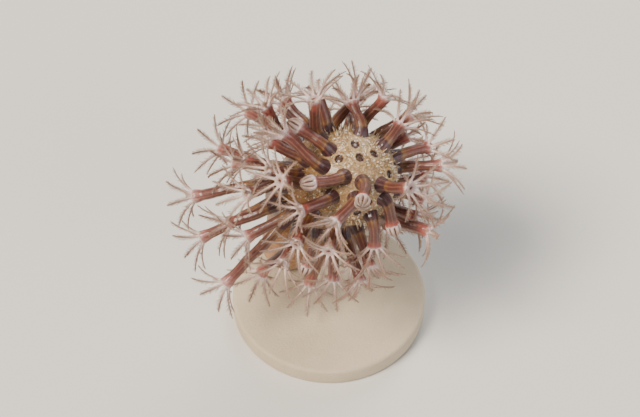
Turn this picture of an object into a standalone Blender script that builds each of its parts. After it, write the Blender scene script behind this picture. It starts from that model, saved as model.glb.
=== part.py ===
"""A club-shaped sea pen, expanded, standing on a plain display base.

The body is one bent club: a swollen foot and a stalk below, and the thick rachis above, which leans half
to +X and half towards the viewer.
Tubular polyps stand out from the rachis in staggered rows. Each flares at its end into a crown: a rim with
eight tentacles round a disc with a sunk mouth. A few polyps are drawn in, as low mounds with a pit.
Sizes are in millimetres and are turned to metres when a mesh is made. +Z is up and the viewer stands at -Y.
"""

import itertools
import math
import random
from dataclasses import dataclass, field

import bmesh
import bpy
import numpy as np

MM = 0.001
NODE_GAP = 0.3
UP = np.array([0.0, 0.0, 1.0])

# Display base
BASE_RADIUS = 28.0
BASE_HEIGHT = 6.0
BASE_CHAMFER = 0.8
BASE_SIDES = 40

# Body: the line through it, its length from foot to tip, and its radius up that line
FOOT = np.array([-12.0, 12.0, BASE_HEIGHT + NODE_GAP])
BODY_LENGTH = 76.0
LEAN_DEGREES = 44.0
LEAN_AZIMUTH = -45.0
LEAN_STARTS = 10.0
LEAN_ENDS = 50.0
AXIS_STEP = 0.5
DOME_STARTS = 64.0
DOME_RADIUS = 12.2
DOME_TIP = 0.12
WIDTHS = ((0.0, 5.4), (6.5, 7.6), (20.0, 5.9), (38.0, 9.6), (54.0, 12.6), (DOME_STARTS, DOME_RADIUS))
BODY_SIDES = 24
SHARP_DEGREES = 40.0

# Where each length of the body starts and ends along it, and how many rings it takes, foot to tip
CUTS = {
    "foot_bulb": (0.0, 13.0, 4),
    "stalk": (13.0, 36.3, 6),
    "rachis_lower": (36.3, 45.7, 4),
    "rachis_middle": (45.7, 58.2, 5),
    "rachis_upper": (58.2, 67.2, 4),
    "rachis_tip": (67.2, BODY_LENGTH, 6),
}

# Polyp tube: its radius from the skin to the rim, and how its line rises, bends and nods
ROOT_DEPTH = 1.2
TUBE_RADII = ((0.0, 1.9), (0.32, 1.5), (0.6, 1.35), (0.86, 1.45), (1.0, 1.85))
RISE_SHARE = 0.38
BEND_SHARE = 0.30
NOD_DEGREES = 8.0
NOD_EASE = 0.25

# Crown: its rim, the disc inside the ring of tentacles, and the mouth
RIM_RADIUS = TUBE_RADII[-1][1]
DISC_RADIUS = 1.25
DISC_HEIGHT = 0.75
MOUTH_DEPTH = 0.25

# Tentacles: their widths between root and tip, and the angles from the crown's axis that each bends between
TENTACLES = 8
SECTOR = 360.0 / TENTACLES
TENTACLE_LENGTH = 8.4
TENTACLE_WIDTHS = (0.80, 0.55)
TENTACLE_RADIUS = 0.5
OPEN_ANGLES = (48.0, 78.0)
SHUT_ANGLES = (24.0, -64.0)
SHUT_LENGTH = 3.8
FOLDED_ANGLES = (20.0, -50.0)
FOLDED_LENGTH = 3.0
LINE_STEPS = 12

# How far polyps vary, in degrees, shares or millimetres, and the share of it in a shut crown
VARY_AROUND = 8.0
VARY_ALONG = 0.5
VARY_TURN = 14.0
VARY_REACH = 0.15
VARY_LIFT = 14.0
VARY_SPREAD = 9.0
VARY_TENTACLE = 6.0
VARY_CURL = 14.0
VARY_SHUT = 0.25

# Clear space kept between polyps, and the ways in which one is bent clear of the others
CLEARANCE = 0.4
FREE_LENGTH = 5.0
CROWN_ROOM = (2.5, 2.55)
BASE_ROOM = 2.0
SLIDES = (0, -8, 8, -16, 16, -24, 24)
TURN_SHIFTS = (0, -7, 7, -14, 14, -21, 21, -28, 28)
LIFT_SHIFTS = (0, -7, 7, -14, 14, -21, 21)
REACH_SHIFTS = (0, -8, 8, -16)
TENTACLE_SHIFTS = (0, -12, 12, -24, 24, -38, 38)
SWING_SHIFTS = (0, -9, 9)
TRIMS = (1.0, 0.8, 0.62, 0.48)

# Polyps that are drawn in: mounds on a spiral down from the tip, each with a pit
MOUNDS = 12
MOUND_SIDES = 8
MOUND_PROFILE = ((1.6, -0.8), (1.6, 0.0), (1.05, 0.45), (0.55, -0.1))
MOUND_SPACING = 3.7
MOUND_MARGIN = 2.2
SPIRAL_STEPS = 400
SPIRAL_TOP = BODY_LENGTH - 0.9
SPIRAL_DROP = 16.0
GOLDEN_ANGLE = 137.508


@dataclass(frozen=True)
class Row:
    """One ring of polyps: its node and place up the body, how they reach out, and which are shut."""

    node: str
    along: float
    count: int
    first: float
    reach: float
    lift: float
    seed: int
    shut: tuple = ()


# The last five rows set one polyp each: two on the dome's left side, where the tubes lie close together,
# and three across its face
ROWS = (
    Row("rachis_lower", 39.4, 6, 79.0, 19.8, -45.0, 2749),
    Row("rachis_lower", 42.8, 6, 290.0, 23.3, -40.0, 6697),
    Row("rachis_middle", 48.6, 7, 265.0, 14.0, -25.0, 5309, shut=(1,)),
    Row("rachis_middle", 52.0, 7, 348.0, 14.1, 26.0, 9),
    Row("rachis_middle", 55.4, 7, 175.0, 14.0, -20.0, 7),
    Row("rachis_upper", 61.1, 6, 166.0, 12.0, 15.0, 7164),
    Row("rachis_upper", 64.5, 6, 69.0, 11.7, 28.0, 8878),
    Row("rachis_tip", 70.0, 6, 270.0, 9.0, -10.0, 7410, shut=(5,)),
    Row("rachis_tip", 73.2, 3, 118.0, 8.0, 0.0, 2882, shut=(1, 2)),
    Row("rachis_tip", 69.4, 1, 215.0, 13.0, -5.0, 3),
    Row("rachis_upper", 63.5, 1, 222.0, 10.5, -8.0, 3),
    Row("rachis_tip", 75.4, 1, 273.0, 10.0, 36.0, 384, shut=(0,)),
    Row("rachis_tip", 75.4, 1, 353.0, 11.4, 93.0, 266),
    Row("rachis_tip", 73.9, 1, 272.0, 9.8, 20.0, 86),
)


@dataclass(frozen=True)
class Tentacle:
    """One tentacle: where it stands round the crown, the angles it bends between, its length and its swing."""

    around: float
    first: float
    last: float
    length: float
    swing: float


@dataclass
class Polyp:
    """One polyp: its node, its root on the skin, the head that its tube runs to, and its crown."""

    node: str
    root: np.ndarray
    normal: np.ndarray
    head: np.ndarray
    facing: np.ndarray
    roll: float = 0.0
    tentacles: list = field(default_factory=list)

    def tube(self, share):
        """The point a share of the way from the skin to the rim."""
        reach = np.linalg.norm(self.head - self.root)
        first = self.root + self.normal * reach * RISE_SHARE
        second = self.head - self.facing * reach * BEND_SHARE
        t, s = share, 1.0 - share
        return s**3 * self.root + 3 * s * s * t * first + 3 * s * t * t * second + t**3 * self.head

    def tube_way(self, share):
        """The way the tube runs there."""
        step = 0.02
        return unit(self.tube(share + step) - self.tube(share - step))

    def spoke(self, around):
        """A direction across the crown, at an angle in degrees round it."""
        across = unit(np.cross(self.facing, UP))
        a = math.radians(around)
        return math.cos(a) * across + math.sin(a) * np.cross(self.facing, across)

    def tentacle_line(self, tentacle):
        """Points along a tentacle, from the middle of its root to its tip."""
        root = self.head + self.spoke(tentacle.around) * (RIM_RADIUS + DISC_RADIUS) / 2
        way = self.spoke(tentacle.around + tentacle.swing)
        shares = (np.arange(LINE_STEPS) + 0.5) / LINE_STEPS
        bends = np.radians(tentacle.first + (tentacle.last - tentacle.first) * shares)
        steps = np.outer(np.cos(bends), self.facing) + np.outer(np.sin(bends), way)
        reached = np.concatenate([np.zeros((1, 3)), np.cumsum(steps, axis=0)]) * tentacle.length / LINE_STEPS
        stride = LINE_STEPS // (len(TENTACLE_WIDTHS) + 1)
        return (root + self.facing * DISC_HEIGHT / 2 + reached)[::stride]


def unit(vector):
    return vector / np.linalg.norm(vector)


def smooth(t):
    """An S-curve from 0 to 1."""
    t = min(max(t, 0.0), 1.0)
    return t * t * (3.0 - 2.0 * t)


def stepped(stops, at):
    """The value at a place among (place, value) stops, eased between them."""
    for (start, low), (end, high) in zip(stops, stops[1:]):
        if at <= end:
            return low + (high - low) * smooth((at - start) / (end - start))
    return stops[-1][1]


def body_ways(along):
    """The way the body runs there, and two ways across it, the first to the side that it leans to."""
    share = (along - LEAN_STARTS) / (LEAN_ENDS - LEAN_STARTS)
    lean, turned = math.radians(LEAN_DEGREES) * smooth(share), math.radians(LEAN_AZIMUTH)
    level = np.array([math.cos(turned), math.sin(turned), 0.0])
    onward = math.sin(lean) * level + math.cos(lean) * UP
    right = math.cos(lean) * level - math.sin(lean) * UP
    return onward, right, np.cross(onward, right)


def direction(ways, azimuth, lift):
    """The way at an azimuth round the body and a lift up from across it, in degrees."""
    onward, right, back = ways
    a, b = math.radians(azimuth), math.radians(lift)
    return math.cos(b) * (math.cos(a) * right + math.sin(a) * back) + math.sin(b) * onward


def body_line():
    """Points along the middle of the body, AXIS_STEP apart."""
    points = [FOOT]
    for i in range(int(BODY_LENGTH / AXIS_STEP)):
        points.append(points[-1] + AXIS_STEP * body_ways((i + 0.5) * AXIS_STEP)[0])
    return np.array(points)


def body_radius(along):
    if along < DOME_STARTS:
        return stepped(WIDTHS, along)
    share = min((along - DOME_STARTS) / (BODY_LENGTH - DOME_STARTS), 1.0)
    return DOME_RADIUS * math.sqrt(1.0 - share * share)


LINE = body_line()
LINE_RADII = np.array([body_radius(i * AXIS_STEP) for i in range(len(LINE))])


def body_frame(along):
    """The middle of the body there, and two directions across it."""
    place = min(along / AXIS_STEP, len(LINE) - 1.001)
    i = int(place)
    middle = LINE[i] + (LINE[i + 1] - LINE[i]) * (place - i)
    return middle, *body_ways(along)[1:]


def skin_point(along, azimuth):
    middle, right, back = body_frame(along)
    a = math.radians(azimuth)
    return middle + body_radius(along) * (math.cos(a) * right + math.sin(a) * back)


def skin_normal(along, azimuth):
    """The outward normal of the skin, from its slopes along and around the body."""
    step, turn = 0.05, 1.0
    along = min(along, BODY_LENGTH - 2.0 * step)
    up = skin_point(along + step, azimuth) - skin_point(along - step, azimuth)
    around = skin_point(along, azimuth + turn) - skin_point(along, azimuth - turn)
    return unit(np.cross(around, up))


def body_gap(points):
    """The least distance from these points to the skin."""
    away = np.linalg.norm(points[:, None] - LINE[None], axis=2) - LINE_RADII
    return away.min()


def cut_gap(points, node):
    """The least distance from these points to the body on the far side of the node's cuts."""
    start, end, _ = CUTS[node]
    away = np.linalg.norm(points[:, None] - LINE[None], axis=2)
    nearest = away.argmin(axis=1)
    over_skin = away.min(axis=1) - LINE_RADII[nearest]
    along = nearest * AXIS_STEP
    inside = along - start if end == BODY_LENGTH else np.minimum(along - start, end - along)
    return np.hypot(np.maximum(inside, 0.0), np.maximum(over_skin, 0.0)).min()


class Space:
    """The rods that polyps placed so far fill, each from one point to another with a radius."""

    def __init__(self):
        self.starts = np.zeros((0, 3))
        self.ends = np.zeros((0, 3))
        self.radii = np.zeros(0)

    def add(self, points, radii):
        """Adds the rods along a line of points."""
        self.starts = np.concatenate([self.starts, points[:-1]])
        self.ends = np.concatenate([self.ends, points[1:]])
        self.radii = np.concatenate([self.radii, np.broadcast_to(radii, len(points) - 1)])

    def clear_of(self, points, radius):
        """Whether a rod of this radius along these points keeps CLEARANCE from all that is placed."""
        middle = points.mean(axis=0)
        room = np.linalg.norm(points - middle, axis=1).max() + radius + CLEARANCE
        halves = (self.ends - self.starts) / 2
        away = np.linalg.norm(self.starts + halves - middle, axis=1) - np.linalg.norm(halves, axis=1)
        near = away - self.radii < room
        if not near.any():
            return True
        gaps = rod_gaps(points, self.starts[near], self.ends[near]) - self.radii[near] - radius
        return gaps.min() >= CLEARANCE


def rod_gaps(points, starts, ends):
    """Distances between each stretch of one line of points and many rods."""
    d1, d2 = (points[1:] - points[:-1])[:, None], (ends - starts)[None]
    r = points[:-1, None] - starts[None]
    a, e, b = (d1 * d1).sum(-1), (d2 * d2).sum(-1), (d1 * d2).sum(-1)
    c, f = (r * d1).sum(-1), (r * d2).sum(-1)
    s = np.clip((b * f - c * e) / np.maximum(a * e - b * b, 1e-12), 0.0, 1.0)
    t = np.clip((b * s + f) / e, 0.0, 1.0)
    s = np.clip((b * t - c) / a, 0.0, 1.0)
    return np.linalg.norm(r + s[..., None] * d1 - t[..., None] * d2, axis=-1)


def nearest_first(*choices):
    """Every choice of one shift from each list, the smallest in all first."""
    return sorted(itertools.product(*choices), key=lambda shifts: (sum(map(abs, shifts)), shifts))


TUBE_TRIES = nearest_first(TURN_SHIFTS, LIFT_SHIFTS, REACH_SHIFTS)
TENTACLE_TRIES = nearest_first(TENTACLE_SHIFTS, SWING_SHIFTS)
TUBE_SHARES = [share for share, _ in TUBE_RADII]
ROD_RADII = np.array([(a[1] + b[1]) / 2 for a, b in zip(TUBE_RADII, TUBE_RADII[1:])])


def place_tube(row, along, azimuth, turn, reach, lift, space):
    """The polyp whose root and tube are clear of the others, moved from its wanted place if need be."""
    ways = body_ways(along)
    for slide in SLIDES:
        root, normal = skin_point(along, azimuth + slide), skin_normal(along, azimuth + slide)
        if not space.clear_of(np.array([root, root + normal]), TUBE_RADII[0][1]):
            continue
        for more_turn, more_lift, longer in TUBE_TRIES:
            heading = azimuth + turn + more_turn
            aim = direction(ways, heading, lift + more_lift)
            nod = direction(ways, heading, lift + more_lift - NOD_DEGREES)
            head = root + reach * (1.0 + longer / 100.0) * aim
            polyp = Polyp(row.node, root, normal, head, unit(nod + NOD_EASE * aim))
            points = np.array([polyp.tube(share) for share in TUBE_SHARES])
            free = points[np.linalg.norm(points - root, axis=1) > FREE_LENGTH]
            if body_gap(free) < TUBE_RADII[0][1] + CLEARANCE:
                continue
            if cut_gap(points, row.node) < TUBE_RADII[0][1] + NODE_GAP / 2:
                continue
            crown = np.array([head, head + CROWN_ROOM[0] * polyp.facing])
            if space.clear_of(points, ROD_RADII.max()) and space.clear_of(crown, CROWN_ROOM[1]):
                return polyp, points
    return None, None


def clear_tentacle(polyp, wanted, space):
    """The tentacle as wanted, or bent, swung, shortened or at last folded in, to be clear of other polyps."""
    for trim in TRIMS:
        for shift, swing in TENTACLE_TRIES:
            found = Tentacle(
                around=wanted.around,
                first=wanted.first + shift / 3,
                last=wanted.last + shift,
                length=wanted.length * trim,
                swing=swing,
            )
            line = polyp.tentacle_line(found)
            if body_gap(line[1:]) < TENTACLE_RADIUS + CLEARANCE or line[:, 2].min() < BASE_HEIGHT + BASE_ROOM:
                continue
            if space.clear_of(line, TENTACLE_RADIUS):
                return found
    return Tentacle(wanted.around, *FOLDED_ANGLES, FOLDED_LENGTH, 0.0)


def grow_tentacles(polyp, shut, draw, space):
    """Gives the polyp its ring of tentacles."""
    angles, length = (SHUT_ANGLES, SHUT_LENGTH) if shut else (OPEN_ANGLES, TENTACLE_LENGTH)
    vary = VARY_SHUT if shut else 1.0
    spread = vary * draw.uniform(-VARY_SPREAD, VARY_SPREAD)
    polyp.roll = draw.uniform(0.0, SECTOR)
    for k in range(TENTACLES):
        first = angles[0] + spread + vary * draw.uniform(-VARY_TENTACLE, VARY_TENTACLE)
        last = angles[1] + first - angles[0] + vary * draw.uniform(-VARY_CURL, VARY_CURL)
        wanted = Tentacle(polyp.roll + SECTOR * k, first, last, length, 0.0)
        polyp.tentacles.append(clear_tentacle(polyp, wanted, space))


def grow_polyps():
    """All the polyps, row by row from the lowest, each clear of those before it."""
    polyps, space = [], Space()
    for row in ROWS:
        draw = random.Random(row.seed)
        places = []
        for i in range(row.count):
            azimuth = row.first + 360.0 * i / row.count + draw.uniform(-VARY_AROUND, VARY_AROUND)
            along = row.along + draw.uniform(-VARY_ALONG, VARY_ALONG)
            turn = draw.uniform(-VARY_TURN, VARY_TURN)
            reach = row.reach * (1.0 + draw.uniform(-VARY_REACH, VARY_REACH))
            lift = row.lift + draw.uniform(-VARY_LIFT, VARY_LIFT)
            places.append((along, azimuth, turn, reach, lift))
        for i, place in enumerate(places):
            polyp, points = place_tube(row, *place, space)
            if polyp is None:
                continue
            grow_tentacles(polyp, i in row.shut, draw, space)
            space.add(points, ROD_RADII)
            for tentacle in polyp.tentacles:
                space.add(polyp.tentacle_line(tentacle), TENTACLE_RADIUS)
            polyps.append(polyp)
    return polyps


def find_mounds(polyps):
    """Nodes, points and normals for drawn-in polyps, clear of the other roots and of the cuts."""
    found, taken = [], [polyp.root for polyp in polyps]
    for i in range(SPIRAL_STEPS):
        along = SPIRAL_TOP - SPIRAL_DROP * i / SPIRAL_STEPS
        azimuth = i * GOLDEN_ANGLE
        point = skin_point(along, azimuth)
        node = next(name for name, (start, end, _) in CUTS.items() if start <= along <= end)
        start, end, _ = CUTS[node]
        margin = min(along - start, end - along if end < BODY_LENGTH else BODY_LENGTH)
        if margin < MOUND_MARGIN or min(np.linalg.norm(point - other) for other in taken) < MOUND_SPACING:
            continue
        taken.append(point)
        found.append((node, point, skin_normal(along, azimuth)))
        if len(found) == MOUNDS:
            break
    return found


def ring(mesh, centre, right, back, radius, sides):
    """Adds a ring of vertices."""
    made = []
    for i in range(sides):
        a = 2.0 * math.pi * i / sides
        place = centre + radius * (math.cos(a) * right + math.sin(a) * back)
        made.append(mesh.verts.new(place * MM))
    return made


def bridge(mesh, lower, upper):
    """Adds a band of faces between two rings of like count."""
    count = len(lower)
    for i in range(count):
        after = (i + 1) % count
        mesh.faces.new((lower[i], lower[after], upper[after], upper[i]))


def fan(mesh, edge, tip):
    """Adds faces from a ring to one point."""
    for i, corner in enumerate(edge):
        mesh.faces.new((corner, edge[(i + 1) % len(edge)], tip))


def loft(mesh, rings):
    """Adds a closed skin through rings, first to last."""
    mesh.faces.new(list(reversed(rings[0])))
    for lower, upper in zip(rings, rings[1:]):
        bridge(mesh, lower, upper)
    mesh.faces.new(rings[-1])


def to_object(name, mesh, material):
    """Triangulates the mesh and makes it an object with flat or smooth faces by their angle."""
    bmesh.ops.triangulate(mesh, faces=mesh.faces[:])
    bmesh.ops.recalc_face_normals(mesh, faces=mesh.faces[:])
    data = bpy.data.meshes.new(name)
    mesh.to_mesh(data)
    mesh.free()
    data.materials.append(material)
    data.shade_smooth()
    data.set_sharp_from_angle(angle=math.radians(SHARP_DEGREES))
    made = bpy.data.objects.new(name, data)
    bpy.context.scene.collection.objects.link(made)
    return made


def make_base(material):
    mesh = bmesh.new()
    right, back = np.array([1.0, 0.0, 0.0]), np.array([0.0, 1.0, 0.0])
    profile = (
        (BASE_RADIUS - BASE_CHAMFER, 0.0),
        (BASE_RADIUS, BASE_CHAMFER),
        (BASE_RADIUS, BASE_HEIGHT - BASE_CHAMFER),
        (BASE_RADIUS - BASE_CHAMFER, BASE_HEIGHT),
    )
    rings = [ring(mesh, UP * z, right, back, r, BASE_SIDES) for r, z in profile]
    loft(mesh, rings)
    return to_object("stand_base", mesh, material)


def make_length(name, material):
    """One length of the body, with flat ends that stop half a gap short of its neighbours."""
    start, end, steps = CUTS[name]
    first = start + (NODE_GAP / 2 if start > 0.0 else 0.0)
    last = end - NODE_GAP / 2
    places = np.linspace(first, last, steps + 1)
    if end == BODY_LENGTH:
        shares = np.sin(np.linspace(0.0, math.pi / 2, steps + 1))
        places = first + (end - DOME_TIP - first) * shares
    mesh = bmesh.new()
    rings = [ring(mesh, *body_frame(place), body_radius(place), BODY_SIDES) for place in places]
    loft(mesh, rings)
    return to_object(name, mesh, material)


def carried_frame(onward, before):
    """Two directions across a line, turned as little as possible from the one before."""
    right = unit(before - onward * (before @ onward))
    return right, np.cross(onward, right)


def add_tentacle(mesh, polyp, tentacle, corners):
    """Carries the four corners of a tentacle's root out along its line and closes them at the tip."""
    line = polyp.tentacle_line(tentacle)
    sideways = np.cross(polyp.facing, polyp.spoke(tentacle.around + tentacle.swing))
    for behind, middle, ahead, width in zip(line, line[1:], line[2:], TENTACLE_WIDTHS):
        inward = np.cross(unit(ahead - behind), sideways)
        offsets = (-sideways - inward, sideways - inward, sideways + inward, inward - sideways)
        outer = [mesh.verts.new((middle + offset * width / 2) * MM) for offset in offsets]
        bridge(mesh, corners, outer)
        corners = outer
    fan(mesh, corners, mesh.verts.new(line[-1] * MM))


def make_polyp(polyp, material):
    """A polyp: a curved tube that flares to a rim, with a tentacle on each side of it and a sunk mouth."""
    mesh = bmesh.new()
    start = polyp.spoke(polyp.roll - SECTOR / 2)
    disc_middle = polyp.head + polyp.facing * DISC_HEIGHT
    disc = ring(mesh, disc_middle, start, np.cross(polyp.facing, start), DISC_RADIUS, TENTACLES)
    fan(mesh, disc, mesh.verts.new((disc_middle - polyp.facing * MOUTH_DEPTH) * MM))
    right, rings = start, []
    for share, radius in reversed(TUBE_RADII[1:]):
        right, back = carried_frame(polyp.tube_way(share), right)
        rings.append(ring(mesh, polyp.tube(share), right, back, radius, TENTACLES))
    root = polyp.root - polyp.normal * ROOT_DEPTH
    rings.append(ring(mesh, root, right, back, TUBE_RADII[0][1], TENTACLES))
    for upper, lower in zip(rings, rings[1:]):
        bridge(mesh, lower, upper)
    mesh.faces.new(list(reversed(rings[-1])))
    rim = rings[0]
    for i, tentacle in enumerate(polyp.tentacles):
        after = (i + 1) % TENTACLES
        add_tentacle(mesh, polyp, tentacle, (rim[i], rim[after], disc[after], disc[i]))
    return to_object("piece", mesh, material)


def make_mound(point, normal, material):
    """A drawn-in polyp: a low ring-shaped mound with a pit in its middle."""
    mesh = bmesh.new()
    right, back = carried_frame(normal, np.array([0.0, 1.0, 0.0]))
    rings = [ring(mesh, point + normal * h, right, back, r, MOUND_SIDES) for r, h in MOUND_PROFILE]
    loft(mesh, rings)
    return to_object("piece", mesh, material)


def keep_largest(data):
    """Leaves only the largest closed surface of a mesh."""
    mesh = bmesh.new()
    mesh.from_mesh(data)
    left, groups = set(mesh.faces), []
    while left:
        group, edge = set(), [next(iter(left))]
        while edge:
            face = edge.pop()
            if face in left:
                left.remove(face)
                group.add(face)
                edge.extend(other for e in face.edges for other in e.link_faces if other in left)
        groups.append(group)
    groups.sort(key=lambda group: sum(face.calc_area() for face in group))
    for group in groups[:-1]:
        bmesh.ops.delete(mesh, geom=list(group), context="FACES")
    bmesh.ops.triangulate(mesh, faces=mesh.faces[:])
    mesh.to_mesh(data)
    mesh.free()


def join(body, pieces):
    """Fuses the pieces to the body they grow from, in one Boolean union, and removes them."""
    if not pieces:
        return
    group = bpy.data.collections.new(body.name + "_pieces")
    bpy.context.scene.collection.children.link(group)
    for piece in pieces:
        bpy.context.scene.collection.objects.unlink(piece)
        group.objects.link(piece)
    union = body.modifiers.new("union", "BOOLEAN")
    union.operation = "UNION"
    union.operand_type = "COLLECTION"
    union.collection = group
    union.solver = "MANIFOLD"
    evaluated = body.evaluated_get(bpy.context.evaluated_depsgraph_get())
    fused = bpy.data.meshes.new_from_object(evaluated)
    body.modifiers.clear()
    body.data = fused
    for piece in pieces:
        bpy.data.objects.remove(piece)
    bpy.data.collections.remove(group)
    keep_largest(body.data)


def make_material(name, colour, roughness):
    material = bpy.data.materials.new(name)
    material.use_nodes = True
    shader = material.node_tree.nodes["Principled BSDF"]
    shader.inputs["Base Color"].default_value = (*colour, 1.0)
    shader.inputs["Roughness"].default_value = roughness
    return material


def main():
    for old in list(bpy.data.objects):
        bpy.data.objects.remove(old)
    stone = make_material("cast_stone", (0.62, 0.56, 0.45), 0.8)
    stalk_skin = make_material("stalk_skin", (0.72, 0.50, 0.33), 0.45)
    rachis_skin = make_material("rachis_skin", (0.66, 0.57, 0.40), 0.5)
    polyp_skin = make_material("polyp_skin", (0.30, 0.13, 0.12), 0.4)
    make_base(stone)
    polyps = grow_polyps()
    mounds = find_mounds(polyps)
    for name in CUTS:
        body = make_length(name, rachis_skin if name.startswith("rachis") else stalk_skin)
        pieces = [make_polyp(polyp, polyp_skin) for polyp in polyps if polyp.node == name]
        pieces += [make_mound(point, normal, polyp_skin) for node, point, normal in mounds if node == name]
        join(body, pieces)


main()
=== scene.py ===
"""The looks of a club-shaped sea pen: wet skin, polyps, feathered tentacles, base, floor, light and camera.

Sizes are millimetres, angles are degrees unless a line says radians, and a mesh is made in metres.
+Z is up, the viewer stands at -Y, and the body leans half to +X and half towards the viewer.
The layout of the polyps follows the same named sizes and seeded draws as the solids that they dress.
"""
import itertools
import logging
import math
import random
from dataclasses import dataclass, field
from enum import Enum
from typing import Any, Iterable, Iterator, Optional, Sequence

import bpy
import numpy as np
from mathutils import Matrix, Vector, noise


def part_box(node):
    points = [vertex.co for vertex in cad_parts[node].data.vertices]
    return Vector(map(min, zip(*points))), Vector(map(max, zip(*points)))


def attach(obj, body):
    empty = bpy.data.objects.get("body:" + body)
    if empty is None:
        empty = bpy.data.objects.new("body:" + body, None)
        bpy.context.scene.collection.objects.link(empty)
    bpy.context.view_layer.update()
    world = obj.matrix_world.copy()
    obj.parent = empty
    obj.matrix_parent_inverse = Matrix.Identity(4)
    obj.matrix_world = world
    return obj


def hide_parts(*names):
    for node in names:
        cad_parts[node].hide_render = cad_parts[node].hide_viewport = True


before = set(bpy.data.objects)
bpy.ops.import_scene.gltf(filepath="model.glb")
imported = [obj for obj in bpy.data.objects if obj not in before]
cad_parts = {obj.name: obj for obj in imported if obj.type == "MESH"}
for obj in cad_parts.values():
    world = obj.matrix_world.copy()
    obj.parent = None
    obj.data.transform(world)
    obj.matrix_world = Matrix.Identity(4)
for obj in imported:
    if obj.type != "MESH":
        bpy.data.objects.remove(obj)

log = logging.getLogger("sea_pen")

MM = 0.001
TURN = 2.0 * math.pi
RIGHT, BACK, UP = np.eye(3)
BODY = "root"
Stops = Sequence[tuple[float, float]]
Run = Sequence[tuple[float, Any]]
Socket = bpy.types.NodeSocket


def unit(vector: np.ndarray) -> np.ndarray:
    """The vector at length one, along its last axis."""
    return vector / np.linalg.norm(vector, axis=-1, keepdims=True)


def turned(first: np.ndarray, second: np.ndarray, angle: float) -> np.ndarray:
    """The first direction turned towards the second, by an angle in radians."""
    return math.cos(angle) * first + math.sin(angle) * second


def round_turn(sides: int) -> np.ndarray:
    """Angles evenly round one turn, in radians."""
    return TURN * np.arange(sides) / sides


def spokes(angles: np.ndarray, right: np.ndarray, back: np.ndarray) -> np.ndarray:
    """The ways out at angles in radians, between two ways that are square to each other."""
    return np.outer(np.cos(angles), right) + np.outer(np.sin(angles), back)


def walked(steps: np.ndarray) -> np.ndarray:
    """Where a walk of these steps stands at its start and after each of them."""
    return np.concatenate([np.zeros((1, 3)), np.cumsum(steps, axis=0)])


def smooth(t: float) -> float:
    """An S-curve from 0 to 1."""
    t = min(max(t, 0.0), 1.0)
    return t * t * (3.0 - 2.0 * t)


def stepped(stops: Stops, at: float) -> float:
    """The value at a place among stops, eased between them.

    Args:
        stops: pairs of place and value, in order of place.
        at: the place asked for.

    Returns:
        The eased value there, or the last value beyond the end.
    """
    for (start, low), (end, high) in itertools.pairwise(stops):
        if at <= end:
            return low + (high - low) * smooth((at - start) / (end - start))
    return stops[-1][1]


def either_way(draw: random.Random, reach: float) -> float:
    """A drawn amount of at most this much, up or down."""
    return draw.uniform(-reach, reach)


def noise_over(points: np.ndarray, size: float) -> np.ndarray:
    """A smooth noise at each point of a grid, whose swells are about this wide."""
    flat = [noise.noise(Vector(point / size)) for point in points.reshape(-1, 3)]
    return np.array(flat).reshape(points.shape[:-1])


def carried_frames(ways: np.ndarray, start: np.ndarray) -> tuple[np.ndarray, np.ndarray]:
    """Two directions across each place on a line, turned as little as possible from one to the next.

    Args:
        ways: the way the line runs at each place.
        start: a direction across it, before the first place.

    Returns:
        The first and the second direction at each place.
    """
    rights, right = [], start
    for way in ways:
        right = unit(right - way * (way @ right))
        rights.append(right)
    return np.array(rights), np.cross(ways, np.array(rights))


def linear(colour: str) -> tuple[float, float, float, float]:
    """An sRGB hex colour as the linear values that a shader takes."""
    parts = [int(colour[i:i + 2], 16) / 255.0 for i in (1, 3, 5)]
    return (*(c / 12.92 if c <= 0.04045 else ((c + 0.055) / 1.055) ** 2.4 for c in parts), 1.0)


def per_mm(size: float) -> float:
    """The texture scale at which a pattern's cell is this many millimetres across."""
    return 1.0 / (size * MM)


class Slot(Enum):
    """The record's material slots."""

    BASE = "cast_stone"
    RACHIS = "rachis_skin"
    POLYP = "polyp_skin"


class Node(Enum):
    """The solids' nodes that the dressed pieces stand for."""

    BASE = "stand_base"
    FOOT = "foot_bulb"
    STALK = "stalk"
    LOWER = "rachis_lower"
    MIDDLE = "rachis_middle"
    UPPER = "rachis_upper"
    TIP = "rachis_tip"


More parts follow.
